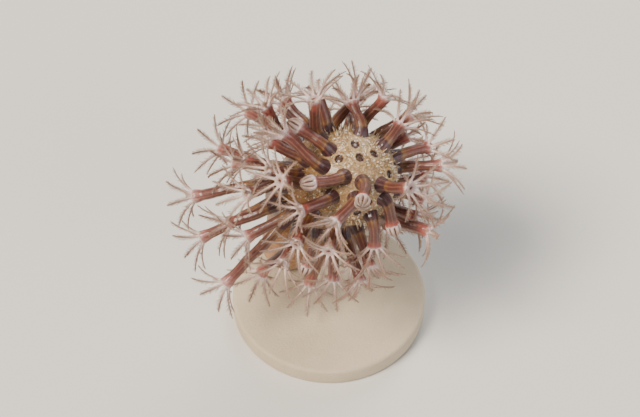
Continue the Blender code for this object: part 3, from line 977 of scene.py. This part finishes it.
@dataclass(frozen=True)
class ClubSkin(Finish):
    """Leathery skin, grown over fine lime spicules: granular cream above, dull orange on the stalk."""

    # The spicules give the dome gold and white flecks and a dry grain under its wet shine.
    # Darker amber-brown from the upper stalk to the dome: the body's own amber, and painted shade of the
    # polyps over it
    run: Run = (
        (0.0, "#bf946c"), (0.15, "#b17f56"), (0.30, "#8c5c37"), (0.42, "#6f4522"), (0.70, "#68401b"),
        (0.83, "#7a562a"), (0.885, "#99764a"), (0.925, "#b99870"), (1.0, "#c8aa86"),
    )
    shade: str = "#6b4c33"
    # Painted shade: the crevices between the grains on the dome are darkened in colour
    crevice_shade: str = "#7d6240"
    gold: str = "#b98432"
    white: str = "#eee2cc"
    grain: float = 0.55
    grain_sink: float = -0.6
    crevice_shade_stops: Stops = ((0.38, 0.0), (0.66, 0.8))
    fleck: float = 0.9
    fleck_edge: Stops = ((0.18, 1.0), (0.36, 0.0))
    gold_from: float = 0.72
    white_from: float = 0.60
    dome_places: Stops = ((0.60, 0.1), (0.90, 0.85))
    stain: float = 3.0
    stains: Stops = ((0.40, 0.55), (0.62, 0.0))

    def paint(self, on: Canvas) -> tuple[Socket, Socket]:
        """A run of colour up the body under stains, painted shade in the crevices, and gold and white
        flecks.

        Args:
            on: the material's canvas.

        Returns:
            The sockets of the surface's colour and height.
        """
        add, place, along = on.add, on.place, on.along
        stain = add("TexNoise", {
            "Vector": place, "Scale": per_mm(self.stain), "Detail": 5.0, "Roughness": 0.6,
        })
        flecks, grain = (
            add("TexVoronoi", {"Vector": place, "Scale": per_mm(size)}) for size in (self.fleck, self.grain)
        )
        chance = add("SeparateXYZ", {0: flecks.node.outputs["Color"]})
        lit = add("ValToRGB", {"Fac": flecks}, self.fleck_edge)
        on_dome = add("ValToRGB", {"Fac": along}, self.dome_places)
        # Painted shade in the crevices between the grains, on the dome only
        between = add("ValToRGB", {"Fac": grain}, self.crevice_shade_stops)
        layers = [
            (add("ValToRGB", {"Fac": stain}, self.stains), self.shade),
            (add("Math", {0: between, 1: on_dome}, operation="MULTIPLY"), self.crevice_shade),
        ]
        for axis, least, shade in (("X", self.gold_from, self.gold), ("Y", self.white_from, self.white)):
            chosen = add("Math", {0: chance.node.outputs[axis], 1: least}, operation="GREATER_THAN")
            shown = add("Math", {0: chosen, 1: lit}, operation="MULTIPLY")
            layers.append((add("Math", {0: shown, 1: on_dome}, operation="MULTIPLY"), shade))
        colour = add("ValToRGB", {"Fac": along}, self.run)
        for amount, shade in layers:
            colour = add("Mix", {0: amount, 6: colour, 7: linear(shade)}, out=2, data_type="RGBA")
        return colour, add("Math", {0: grain, 1: self.grain_sink, 2: stain}, operation="MULTIPLY_ADD")


@dataclass(frozen=True)
class GranuleSkin(Finish):
    """Lime-filled skin of the tiny polyps on the rachis, each one cream, gold or white as it grew."""

    # The mix of shades gives the dome its salt-and-sand grain. The speck is a little wider than a granule.
    shades: Run = (
        (0.0, "#8f6d45"), (0.30, "#b5904f"), (0.50, "#ccb08a"), (0.78, "#e2ceb5"), (1.0, "#f6ebdd"),
    )
    # Below the dome the granules turn amber: their own tone, and painted shade of the polyps over them
    low_amber_and_shade: str = "#8a6231"
    low_places: Stops = ((0.80, 0.85), (0.92, 0.0))
    speck: float = 0.8

    def paint(self, on: Canvas) -> tuple[Socket, Socket]:
        """One shade to each cell of a pattern, turned amber below the dome, partly as painted shade.

        Args:
            on: the material's canvas.

        Returns:
            The sockets of the surface's colour and height.
        """
        add, place, along = on.add, on.place, on.along
        low = add("ValToRGB", {"Fac": along}, self.low_places)
        cells = add("TexVoronoi", {"Vector": place, "Scale": per_mm(self.speck)})
        chance = add("SeparateXYZ", {0: cells.node.outputs["Color"]})
        shade = add("ValToRGB", {"Fac": chance}, self.shades)
        return add("Mix", {0: low, 6: shade, 7: linear(self.low_amber_and_shade)}, out=2, data_type="RGBA"), cells


@dataclass(frozen=True)
class PitTissue(Finish):
    """Soft tissue of a polyp that is drawn in: a pale granular ring round a dark pit."""

    # Water stands in the pit, so it is the wettest place. Its own brown is painted darker in the groove, as
    # shade.
    run: Run = (
        (0.0, "#a98d62"), (0.26, "#b0946b"), (0.36, "#8f6f50"), (0.48, "#654937"), (0.60, "#38261f"),
        (0.72, "#3f2c25"), (0.88, "#5c453a"), (1.0, "#3d2b24"),
    )
    grain: float = 0.4
    grain_reach: float = 0.16

    def paint(self, on: Canvas) -> tuple[Socket, Socket]:
        """The run of colour from the ring's foot over its crest and into the pit.

        Args:
            on: the material's canvas.

        Returns:
            The sockets of the surface's colour and height.
        """
        add, place, along = on.add, on.place, on.along
        grain = add("TexNoise", {"Vector": place, "Scale": per_mm(self.grain), "Detail": 3.0})
        moved = add("Math", {0: grain, 1: self.grain_reach, 2: along}, operation="MULTIPLY_ADD")
        run_at = add("Math", {0: moved, 1: self.grain_reach / 2}, operation="SUBTRACT")
        return add("ValToRGB", {"Fac": run_at}, self.run), grain


@dataclass(frozen=True)
class CastStone(Finish):
    """Fine cast stone of the display base: sand and pale cement, cast in a mould and rubbed smooth."""

    # It looks dry and matte, with soft clouds. The grit is coarser than the real 0.3 mm, so that it shows.
    ground: tuple[str, str] = ("#b8a68a", "#cdbda2")
    cloud: float = 9.0
    grit: tuple[str, str] = ("#8c7a60", "#e8dcc6")
    grit_size: float = 0.7
    grit_edge: Stops = ((0.10, 0.55), (0.30, 0.0))

    def paint(self, on: Canvas) -> tuple[Socket, Socket]:
        """Clouds of two shades under grit of two shades.

        Args:
            on: the material's canvas.

        Returns:
            The sockets of the surface's colour and height.
        """
        add, place = on.add, on.place
        cloud = add("TexNoise", {"Vector": place, "Scale": per_mm(self.cloud), "Detail": 6.0})
        grit = add("TexVoronoi", {"Vector": place, "Scale": per_mm(self.grit_size)})
        shown = add("ValToRGB", {"Fac": grit}, self.grit_edge)
        ground, grains = (
            add("Mix", {0: amount, 6: linear(dark), 7: linear(pale)}, out=2, data_type="RGBA")
            for amount, (dark, pale) in ((cloud, self.ground), (grit.node.outputs["Color"], self.grit))
        )
        return add("Mix", {0: shown, 6: ground, 7: grains}, out=2, data_type="RGBA"), grit


@dataclass
class BodySkin:
    """One skin over foot, stalk and rachis, with folds on the stalk and a collar round each polyp's root."""

    colony: Colony
    rings: int = 320
    sides: int = 180
    foot_round: float = 2.4
    foot_share: float = 0.9
    tip_gap: float = 0.0002
    collar_height: float = 0.45
    collar_width: float = 2.5
    # Each pair is where a kind of surface starts or ends up the body, and over what length
    stalk_starts: tuple[float, float] = (3.0, 6.0)
    stalk_ends: tuple[float, float] = (33.0, 7.0)
    rachis_starts: tuple[float, float] = (34.0, 6.0)
    furrows: int = 14
    furrow_depth: float = 0.20
    furrow_edge: float = 0.7
    fold_spacing: float = 1.9
    fold_height: float = 0.14
    drift_size: float = 6.0
    # How far that drift shifts the furrows and the folds, in radians
    drift_turn: tuple[float, float] = (2.2, 5.0)
    grain_height: float = 0.10
    grain_size: float = 1.3
    pit_depth: float = 1.0
    pit_radii: tuple[float, float] = (1.1, 1.6)

    def bare(self) -> tuple[np.ndarray, np.ndarray, np.ndarray]:
        """The bare surface, with its rings closer together at the dome's tip and at the rounded foot.

        Returns:
            Its points and normals, by ring and side, and its rings' places up the body.
        """
        club = self.colony.club
        angles = round_turn(self.sides)
        places = club.length * (1.0 - np.cos(np.linspace(0.0, math.pi, self.rings))) / 2
        points = []
        for place in places:
            inside = min(place, club.length - self.tip_gap)
            middle, right, back = club.frame_at(inside)
            radius = club.radius(inside)
            if place < self.foot_round:
                drop = 1.0 - math.sqrt(1.0 - (1.0 - place / self.foot_round) ** 2)
                radius -= self.foot_round * drop * self.foot_share
            points.append(middle + radius * spokes(angles, right, back))
        grid = np.array(points)
        around = np.roll(grid, -1, axis=1) - np.roll(grid, 1, axis=1)
        return grid, unit(np.cross(around, np.gradient(grid, axis=0))), places

    def heights(self, grid: np.ndarray, places: np.ndarray) -> np.ndarray:
        """How far the skin stands out from or sinks into the bare surface.

        Args:
            grid: the bare surface's points, by ring and side.
            places: the rings' places up the body.

        Returns:
            The height at each point.
        """
        starts, ends, rachis = (
            np.array([[smooth((place - start) / length)] for place in places])
            for start, length in (self.stalk_starts, self.stalk_ends, self.rachis_starts)
        )
        drift = noise_over(grid, self.drift_size)
        furrow_at = self.furrows / 2 * round_turn(self.sides) + self.drift_turn[0] * drift
        fold_at = TURN * places[:, None] / self.fold_spacing + self.drift_turn[1] * drift
        furrow = -np.abs(np.sin(furrow_at)) ** self.furrow_edge
        height = starts * (1.0 - ends) * (self.furrow_depth * furrow + self.fold_height * np.sin(fold_at))
        height += rachis * self.grain_height * noise_over(grid, self.grain_size)
        for polyp in self.colony.polyps:
            away = np.linalg.norm(grid - polyp.root, axis=2)
            height += self.collar_height * np.exp(-((away / self.collar_width) ** 2))
        for place in self.colony.mound_places():
            away = np.linalg.norm(grid - self.colony.club.skin(*place), axis=2)
            sunk = np.clip((self.pit_radii[1] - away) / (self.pit_radii[1] - self.pit_radii[0]), 0.0, 1.0)
            height = height * (1.0 - sunk) - self.pit_depth * sunk
        return height

    def build(self, finish: bpy.types.Material) -> None:
        """Makes the skin, in place of all the body's nodes.

        Args:
            finish: its material.
        """
        grid, normals, places = self.bare()
        points = grid + self.heights(grid, places)[..., None] * normals
        tissue = Tissue("body_skin")
        tissue.add_tubes(points[None], WHOLE_MAP, (places / self.colony.club.length)[None], closed_root=True)
        tissue.to_piece(finish, Slot.RACHIS, self.colony.club.cuts)


@dataclass
class DrawnInPolyps:
    """Polyps that are drawn in: low rings with a pit, in which the folded crown just shows."""

    colony: Colony
    sides: int = 32
    lobes: int = 8
    lobe_depth: float = 0.07
    lobed_within: float = 1.4
    sizes: tuple[float, float] = (0.82, 1.12)
    squash: float = 0.13
    seed: int = 11
    columns: int = 4
    profile: Stops = (
        (2.10, -0.50), (1.85, -0.10), (1.66, 0.06), (1.48, 0.18), (1.32, 0.24), (1.18, 0.22),
        (1.08, 0.10), (1.00, -0.08), (0.94, -0.28), (0.86, -0.36), (0.74, -0.34), (0.58, -0.26),
        (0.34, -0.16), (0.06, -0.20),
    )

    def build(self, finish: bpy.types.Material) -> None:
        """Makes all the rings as one piece.

        Args:
            finish: their material.
        """
        tissue, draw = Tissue("drawn_in_polyps"), random.Random(self.seed)
        angles = round_turn(self.sides)
        rings, patches = [], []
        for i, place in enumerate(self.colony.mound_places()):
            middle, normal, around = self.colony.club.patch(place, angles)
            spans = ((0.0, math.pi), self.sizes, (0.0, self.squash))
            turn, size, squash = (draw.uniform(*span) for span in spans)
            oval = size * (1.0 + squash * np.cos(2.0 * (angles - turn)))
            made = []
            for radius, height in self.profile:
                lobes = self.lobe_depth * np.cos(self.lobes * angles) * (radius < self.lobed_within)
                made.append(middle + normal * height + (radius * oval * (1.0 + lobes))[:, None] * around)
            rings.append(made)
            patches.append([0.01 + 0.25 * (i % self.columns), 0.01 + 0.33 * (i // self.columns), 0.23, 0.31])
        along = np.linspace(0.0, 1.0, len(self.profile))
        tissue.add_tubes(np.array(rings), np.array(patches), np.tile(along, (len(rings), 1)))
        tissue.to_piece(finish, Slot.RACHIS)


@dataclass
class Granules:
    """The tiny polyps without tentacles, which stand as pale granules between the others on the rachis."""

    colony: Colony
    runs: tuple[tuple[float, int], ...] = ((15.0, 3000), (40.0, 1700))
    tip_gap: float = 0.1
    stray: float = 9.0
    sides: int = 6
    radius: float = 0.25
    height: float = 0.22
    profile: Stops = ((1.0, -0.6), (0.95, 0.35), (0.55, 0.85), (0.25, 1.0))
    clear_of_roots: float = 2.0
    clear_of_pits: float = 1.35
    sizes: tuple[float, float] = (0.4, 1.35)
    slender_share: float = 0.13
    slender_radius: float = 0.5
    slender_height: tuple[float, float] = (3.5, 8.0)
    seed: int = 5

    def build(self, finish: bpy.types.Material) -> None:
        """Makes all the granules as one piece.

        Args:
            finish: their material.
        """
        club, draw = self.colony.club, random.Random(self.seed)
        kept_clear = (
            (np.array([polyp.root for polyp in self.colony.polyps]), self.clear_of_roots),
            (np.array([club.skin(*place) for place in self.colony.mound_places()]), self.clear_of_pits),
        )
        angles = round_turn(self.sides)
        tubes, patches, up_body = [], [], []
        spirals = [self.colony.spiral(club.length - self.tip_gap, drop, count) for drop, count in self.runs]
        for along, azimuth in itertools.chain(*spirals):
            azimuth += either_way(draw, self.stray)
            size = draw.uniform(*self.sizes)
            wide, tall = 1.0, 1.0
            if draw.random() < self.slender_share:
                wide, tall = self.slender_radius, draw.uniform(*self.slender_height)
            middle = club.skin(along, azimuth)
            if any(np.linalg.norm(places - middle, axis=1).min() < room for places, room in kept_clear):
                continue
            middle, normal, around = club.patch((along, azimuth), angles)
            tubes.append([
                middle + size * (self.height * tall * h * normal + self.radius * wide * r * around)
                for r, h in self.profile
            ])
            corner = (0.005 + 0.99 * (azimuth / 360.0 % 1.0), 0.005 + 0.98 * along / club.length)
            patches.append([*corner, 0.003, 0.003])
            up_body.append([along / club.length] * len(self.profile))
        tissue = Tissue("granules")
        tissue.add_tubes(np.array(tubes), np.array(patches), np.array(up_body))
        tissue.to_piece(finish, Slot.RACHIS)


@dataclass(frozen=True)
class Shaft:
    """The shaft of a tentacle: its rings, its widths when open or shut, and how it curls and sways."""

    rings: int = 26
    sides: int = 8
    sunk: float = 0.45
    open_widths: Stops = ((0.0, 0.50), (0.10, 0.38), (0.30, 0.28), (0.65, 0.21), (0.92, 0.13), (1.0, 0.05))
    shut_widths: Stops = ((0.0, 0.50), (0.30, 0.50), (0.65, 0.38), (0.92, 0.18), (1.0, 0.06))
    flatness: float = 0.8
    curl: tuple[float, float] = (-10.0, 18.0)
    sway: float = 5.0
    sway_turn: float = 4.0

    def line(self, polyp: Polyp, tentacle: Tentacle, draw: random.Random) -> tuple[np.ndarray, ...]:
        """The middle line of a tentacle and the three directions at each of its places.

        Args:
            polyp: the polyp that it stands on.
            tentacle: the tentacle as the solids have it.
            draw: gives its sway and the curl of its tip.

        Returns:
            The places, and there the way it runs, the way across it and the way to the mouth's side.
        """
        shares = np.linspace(0.0, 1.0, self.rings)
        curl = math.radians(draw.uniform(*self.curl))
        sway = math.radians(either_way(draw, self.sway))
        phase = draw.uniform(0.0, TURN)
        bends = np.radians(tentacle.first + (tentacle.last - tentacle.first) * shares) + curl * shares**3
        swayed = sway * np.sin(self.sway_turn * shares + phase) * shares
        out = spokes(math.radians(tentacle.around + tentacle.swing) + swayed, *polyp.across())
        onward = np.cos(bends)[:, None] * polyp.facing + np.sin(bends)[:, None] * out
        steps = onward[:-1] * (tentacle.length + self.sunk) / (self.rings - 1)
        root = polyp.tentacle_root(tentacle) - onward[0] * self.sunk
        sideways = unit(np.cross(polyp.facing, out))
        return root + walked(steps), onward, sideways, np.cross(onward, sideways)

    def skin(self, line: tuple[np.ndarray, ...], is_shut: bool) -> np.ndarray:
        """The shaft's points by ring and side.

        Args:
            line: its places and directions, as line gives them.
            is_shut: whether the crown is shut.

        Returns:
            The points.
        """
        places, _, sideways, inward = line
        angles = round_turn(self.sides)
        stops = self.shut_widths if is_shut else self.open_widths
        widths = np.array([stepped(stops, share) for share in np.linspace(0.0, 1.0, self.rings)])
        across = np.cos(angles)[None, :, None] * sideways[:, None]
        through = self.flatness * np.sin(angles)[None, :, None] * inward[:, None]
        return places[:, None] + widths[:, None, None] * (across + through)


@dataclass(frozen=True)
class Fringe:
    """The two rows of pinnules along a tentacle."""

    pairs: int = 24
    span: tuple[float, float] = (0.16, 0.97)
    stray: float = 0.016
    furthest: float = 0.985
    lengths: Stops = ((0.0, 0.35), (0.25, 0.90), (0.55, 1.05), (0.8, 0.75), (1.0, 0.25))
    vary: tuple[float, float] = (0.6, 1.25)
    shut_scale: float = 0.35
    radii: tuple[float, ...] = (0.085, 0.072, 0.058, 0.022)
    lean: tuple[float, float] = (0.30, 1.30)
    lift: tuple[float, float] = (-0.35, 0.70)
    bow: float = 0.30
    tilt: float = 0.3
    rooted: float = 0.6

    def build(
        self, line: tuple[np.ndarray, ...], widths: Stops, is_shut: bool, draw: random.Random
    ) -> tuple[np.ndarray, np.ndarray]:
        """The pinnules along both sides of a tentacle.

        Args:
            line: its places and directions, as Shaft.line gives them.
            widths: the shaft's radius from its root to its tip.
            is_shut: whether the crown is shut, which leaves the pinnules short.
            draw: gives each pinnule's small changes.

        Returns:
            The pinnules' points by pinnule, ring and side, and each one's share of the way up the tentacle.
        """
        places, onward, sideways, inward = line
        count, scale = self.pairs * 2, self.shut_scale if is_shut else 1.0
        shares = np.repeat(np.linspace(*self.span, self.pairs), 2)
        shares = np.clip(shares + [either_way(draw, self.stray) for _ in range(count)], 0.0, self.furthest)
        hands = np.tile([1.0, -1.0], self.pairs)[:, None]
        at = shares * (len(places) - 1)
        low = at.astype(int)
        part = (at - low)[:, None]
        middle = places[low] * (1.0 - part) + places[low + 1] * part
        ways = [unit(v[low] * (1.0 - part) + v[low + 1] * part) for v in (onward, sideways, inward)]
        lean = np.array([[draw.uniform(*self.lean), draw.uniform(*self.lift)] for _ in range(count)])
        aim = unit(hands * ways[1] + lean[:, :1] * ways[0] + lean[:, 1:] * ways[2])
        bow = unit(ways[0] + ways[2]) * self.bow
        sizes = np.array([
            scale * stepped(self.lengths, share) * draw.uniform(*self.vary) for share in shares
        ])
        side = unit(np.cross(aim, ways[2] + self.tilt * ways[0]))
        other = np.cross(aim, side)
        width = np.array([stepped(widths, share) for share in shares])[:, None]
        root = middle + hands * ways[1] * width * self.rooted
        rings = []
        for reach, radius in zip(np.linspace(0.0, 1.0, len(self.radii)), self.radii):
            centre = root + sizes[:, None] * (aim * reach + bow * reach**2)
            rings.append(np.stack([centre + radius * way for way in (side, other, -side, -other)], axis=1))
        return np.stack(rings, axis=1), shares


@dataclass
class PolypRow:
    """The tubes and tentacles of one row of polyps."""

    number: int
    node: Node
    polyps: list[Polyp]
    shaft: Shaft = Shaft()
    fringe: Fringe = Fringe()
    sides: int = 40
    rings: int = 46
    sunk: float = 1.3
    root_flare: float = 0.28
    flare_reach: float = 0.05
    ridge: float = 0.030
    ridge_starts: float = 0.1
    wrinkle: float = 0.025
    wrinkles_per_mm: float = 0.9
    # Faint ribs across the tube, as a share of the wrinkles, and their turn from root to rim in radians
    rib: float = 0.5
    rib_turn: float = 70.0
    swell: float = 0.11
    swell_size: float = 3.4
    sway: float = 0.45
    sway_size: float = 7.0
    sway_seed: int = 7
    crown: Stops = (
        (1.86, 0.10), (1.84, 0.24), (1.76, 0.42), (1.62, 0.58), (1.42, 0.68), (1.18, 0.66), (0.92, 0.58),
        (0.68, 0.52), (0.46, 0.48), (0.30, 0.38), (0.22, 0.16), (0.16, -0.20), (0.10, -0.60),
    )
    # How far the web sinks between tentacles, the mouth is drawn out and the disc is folded, and for each
    # the radius where it starts and over what length
    web: float = 0.16
    web_fades: tuple[float, float] = (0.9, 0.7)
    slit: float = 0.35
    slit_fades: tuple[float, float] = (0.75, 0.4)
    disc_fold: float = 0.03
    fold_fades: tuple[float, float] = (1.3, 0.4)
    seed: int = 100

    def build(self, wall: bpy.types.Material, soft: bpy.types.Material) -> None:
        """Makes the row's tubes as one piece and its tentacles as another."""
        self.build_tubes(wall)
        self.build_tentacles(soft, random.Random(self.seed + self.number))

    def tube_rings(self, polyp: Polyp, angles: np.ndarray, shares: np.ndarray) -> list[np.ndarray]:
        """The rings of a tube, from under the skin to the rim, over it, across the disc and into the mouth.

        Args:
            polyp: the polyp.
            angles: angles round the tube, in radians.
            shares: where the rings stand between the skin and the rim.

        Returns:
            The rings' points.
        """
        lobes = np.cos(SIZES.tentacles * angles)
        ways = np.array([polyp.tube_way(share) for share in shares[::-1]])
        rights, backs = (
            side[::-1] for side in carried_frames(ways, polyp.spoke(polyp.roll - SIZES.sector / 2))
        )
        made = []
        for right, back, share in zip(rights, backs, shares):
            radius = stepped(SIZES.radii, share) + self.root_flare * math.exp(-share / self.flare_reach)
            middle, between = polyp.tube(share), math.sin(math.pi * share)
            wobble = self.wrinkle * noise.noise(Vector(middle * self.wrinkles_per_mm))
            wobble += self.wrinkle * self.rib * math.sin(self.rib_turn * share)
            wobble += self.swell * between * noise.noise(Vector(middle / self.swell_size))
            swayed = np.array(noise.noise_vector(Vector(middle / self.sway_size)))
            middle = middle + self.sway * between * swayed
            rounded = radius * (1.0 + wobble - self.ridge * lobes * smooth(share / self.ridge_starts))
            made.append(middle + rounded[:, None] * spokes(angles, right, back))
        around = spokes(angles, rights[-1], np.cross(polyp.facing, rights[-1]))
        for radius, height in self.crown:
            in_web = smooth((radius - self.web_fades[0]) / self.web_fades[1])
            in_mouth, in_disc = (
                smooth((start - radius) / length) for start, length in (self.slit_fades, self.fold_fades)
            )
            narrow = 1.0 + self.slit * np.cos(2.0 * angles) * in_mouth
            lifted = height - self.web * (lobes > 0) * lobes * in_web - self.disc_fold * lobes * in_disc
            made.append(polyp.head + lifted[:, None] * polyp.facing + (radius * narrow)[:, None] * around)
        return [made[0] - polyp.normal * self.sunk, *made]

    def build_tubes(self, finish: bpy.types.Material) -> None:
        """Makes every tube, with its crown.

        Args:
            finish: their material.
        """
        # Unseeded, this noise starts from the clock, and the tubes would sway in another way at every run
        noise.seed_set(self.sway_seed)
        tissue = Tissue(f"polyps_row_{self.number + 1}")
        angles, shares = round_turn(self.sides), np.linspace(0.0, 1.0, self.rings)
        points = np.array([self.tube_rings(polyp, angles, shares) for polyp in self.polyps])
        values = np.concatenate([[0.0], shares, 1.0 + 0.5 * np.linspace(0.03, 1.0, len(self.crown))])
        width = 1.0 / len(points)
        patches = np.array([[width * i + 0.004, 0.004, width - 0.008, 0.992] for i in range(len(points))])
        tissue.add_tubes(points, patches, np.tile(values, (len(points), 1)))
        tissue.to_piece(finish, Slot.POLYP, [self.node])

    def build_tentacles(self, finish: bpy.types.Material, draw: random.Random) -> None:
        """Makes every tentacle's shaft and pinnules.

        Args:
            finish: their material.
            draw: gives their small changes.
        """
        tissue = Tissue(f"tentacles_row_{self.number + 1}")
        wide, tall = 1.0 / SIZES.tentacles, 1.0 / len(self.polyps)
        shafts, shaft_patches, fringes, fringe_patches, fringe_values = [], [], [], [], []
        for i, polyp in enumerate(self.polyps):
            for k, tentacle in enumerate(polyp.tentacles):
                line = self.shaft.line(polyp, tentacle, draw)
                shafts.append(self.shaft.skin(line, polyp.is_shut))
                shaft_patches.append([wide * k + 0.004, tall * i + 0.004, 0.05, tall - 0.01])
                fringe, rooted = self.fringe.build(line, self.shaft.open_widths, polyp.is_shut, draw)
                fringes.append(fringe)
                column = wide * k + 0.062 + 0.012 * (np.arange(len(rooted)) % 4)
                patch = np.stack([column, tall * i + 0.004 + rooted * (tall - 0.012)], axis=1)
                fringe_patches.append(np.concatenate([patch, np.full(patch.shape, 0.003)], axis=1))
                fringe_values.append(rooted[:, None] * 0.55 + 0.30 + np.linspace(0.0, 0.2, fringe.shape[1]))
        shares = np.linspace(0.0, 1.0, self.shaft.rings)
        tissue.add_tubes(np.array(shafts), np.array(shaft_patches), np.tile(shares, (len(shafts), 1)))
        tissue.add_tubes(*(np.concatenate(parts) for parts in (fringes, fringe_patches, fringe_values)))
        tissue.to_piece(finish, Slot.POLYP, [self.node])


@dataclass
class DisplayBase:
    """The round base that the foot stands on, with softened edges."""

    sides: int = 160
    edge: float = 1.0
    edge_steps: int = 6
    inner_rings: tuple[float, ...] = (0.8, 0.5, 0.2, 0.02)

    def build(self, finish: bpy.types.Material) -> None:
        """Makes the base to the size of the solid that it stands for.

        Args:
            finish: its material.
        """
        low, high = (np.array(corner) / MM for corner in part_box(Node.BASE.value))
        radius, height = (high[0] - low[0]) / 2, high[2]
        turns = np.linspace(0.0, math.pi / 2, self.edge_steps)
        cut = [(self.edge * (1 - math.cos(turn)), self.edge * (1 - math.sin(turn))) for turn in turns]
        upper = [(radius - inward, height - down) for inward, down in cut]
        lower = [(r, height - z) for r, z in reversed(upper)]
        inner = [(radius * share, height) for share in self.inner_rings]
        profile = [(inner[-1][0], 0.0), *lower, *upper, *inner]
        around = spokes(round_turn(self.sides), RIGHT, BACK)
        points = np.array([r * around + z * UP for r, z in profile])
        along = np.linspace(0.0, 1.0, len(profile))
        tissue = Tissue("display_base")
        tissue.add_tubes(points[None], WHOLE_MAP, along[None], closed_root=True)
        tissue.to_piece(finish, Slot.BASE, [Node.BASE])


@dataclass(frozen=True)
class Light:
    """A soft light: its name, its place, how wide it looks, its watts to a square metre and its tint."""

    name: str
    place: tuple[float, float, float]
    width: float
    power: float
    tint: str


@dataclass
class Studio:
    """The plain pale floor, the soft lights and the camera at the photo's angle."""

    elevation: float = 50.0
    distance: float = 380.0
    target: tuple[float, float, float] = (-2.6, 0.0, 43.5)
    px_per_mm: float = 3.7
    picture_width: float = 640.0
    sensor: float = 36.0
    nearest: float = 10.0
    floor_size: float = 6000.0
    floor_colour: str = "#d9d6cf"
    floor_roughness: float = 0.9
    air_tint: str = "#e6e9ee"
    air_light: float = 0.28
    lights: tuple[Light, ...] = (
        Light("key", (-260.0, -160.0, 420.0), 24.0, 5.6, "#fff4e4"),
        Light("fill", (380.0, -320.0, 260.0), 41.0, 1.25, "#eef3ff"),
        Light("rim", (120.0, 420.0, 330.0), 31.0, 2.0, "#ffffff"),
    )

    def build(self) -> None:
        """Makes all of it."""
        self.make_floor()
        self.make_camera()
        for light in self.lights:
            self.make_light(light)
        world = bpy.data.worlds.new("studio")
        world.use_nodes = True
        air = world.node_tree.nodes["Background"].inputs
        air["Color"].default_value = linear(self.air_tint)
        air["Strength"].default_value = self.air_light
        bpy.context.scene.world = world
        log.info("studio: %d lights", len(self.lights))

    def make_floor(self) -> None:
        """A pale floor, under the base."""
        half = self.floor_size / 2 * MM
        mesh = bpy.data.meshes.new("floor")
        corners = [(-half, -half, 0.0), (half, -half, 0.0), (half, half, 0.0), (-half, half, 0.0)]
        mesh.from_pydata(corners, [], [(0, 1, 2, 3)])
        # Board with rolled-on chalky paint, which scatters light evenly and mirrors nothing
        material = bpy.data.materials.new("chalk_painted_board")
        material.use_nodes = True
        shader = material.node_tree.nodes["Principled BSDF"]
        shader.inputs["Base Color"].default_value = linear(self.floor_colour)
        shader.inputs["Roughness"].default_value = self.floor_roughness
        mesh.materials.append(material)
        floor = bpy.data.objects.new("floor", mesh)
        bpy.context.scene.collection.objects.link(floor)

    def make_camera(self) -> None:
        """The camera, looking down on the polyps as the photo does."""
        lift = math.radians(self.elevation)
        data = bpy.data.cameras.new("camera")
        data.sensor_width = self.sensor
        data.lens = self.sensor * self.px_per_mm * self.distance / self.picture_width
        data.clip_start = self.nearest * MM
        camera = bpy.data.objects.new("camera", data)
        camera.location = (np.array(self.target) + turned(-BACK, UP, lift) * self.distance) * MM
        camera.rotation_euler = (math.pi / 2 - lift, 0.0, 0.0)
        bpy.context.scene.collection.objects.link(camera)
        bpy.context.scene.camera = camera

    def make_light(self, light: Light) -> None:
        """Makes one light. A distant one lights the floor as evenly as a large studio light would.

        Args:
            light: the light.
        """
        data = bpy.data.lights.new(light.name, "SUN")
        data.angle = math.radians(light.width)
        data.energy = light.power
        data.color = linear(light.tint)[:3]
        lamp = bpy.data.objects.new(light.name, data)
        lamp.location = np.array(light.place) * MM
        lamp.rotation_euler = (Vector(self.target) - Vector(light.place)).to_track_quat("-Z", "Y").to_euler()
        bpy.context.scene.collection.objects.link(lamp)


def main() -> None:
    """Builds the animal, its base and the studio round it."""
    logging.basicConfig(level=logging.INFO, format="%(message)s")
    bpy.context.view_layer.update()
    colony = Colony(Club())
    colony.grow()
    log.info("colony: %d polyps", len(colony.polyps))
    club_skin = ClubSkin("leathery_skin", roughness=0.42, coat=0.25, subsurface=0.25, bump=0.8).build()
    pit_tissue = PitTissue("pit_tissue", roughness=0.28, coat=0.6, subsurface=0.2, bump=0.6).build()
    granule_skin = GranuleSkin("granule_skin", roughness=0.30, coat=0.4, subsurface=0.3, bump=0.2).build()
    wall = PolypWall("tube_muscle", roughness=0.33, coat=0.35, subsurface=0.30, bump=0.5).build()
    soft = TentacleTissue("tentacle_tissue", roughness=0.40, coat=0.15, subsurface=0.35, bump=0.2).build()
    stone = CastStone("cast_stone", roughness=0.85, ior=1.5, bump=0.6, bump_depth=0.15).build()
    BodySkin(colony).build(club_skin)
    DrawnInPolyps(colony).build(pit_tissue)
    Granules(colony).build(granule_skin)
    for number, row in enumerate(colony.rows):
        polyps = [polyp for polyp in colony.polyps if polyp.row == number]
        PolypRow(number, row.node, polyps).build(wall, soft)
    DisplayBase().build(stone)
    Studio().build()


if __name__ == "__main__":
    main()
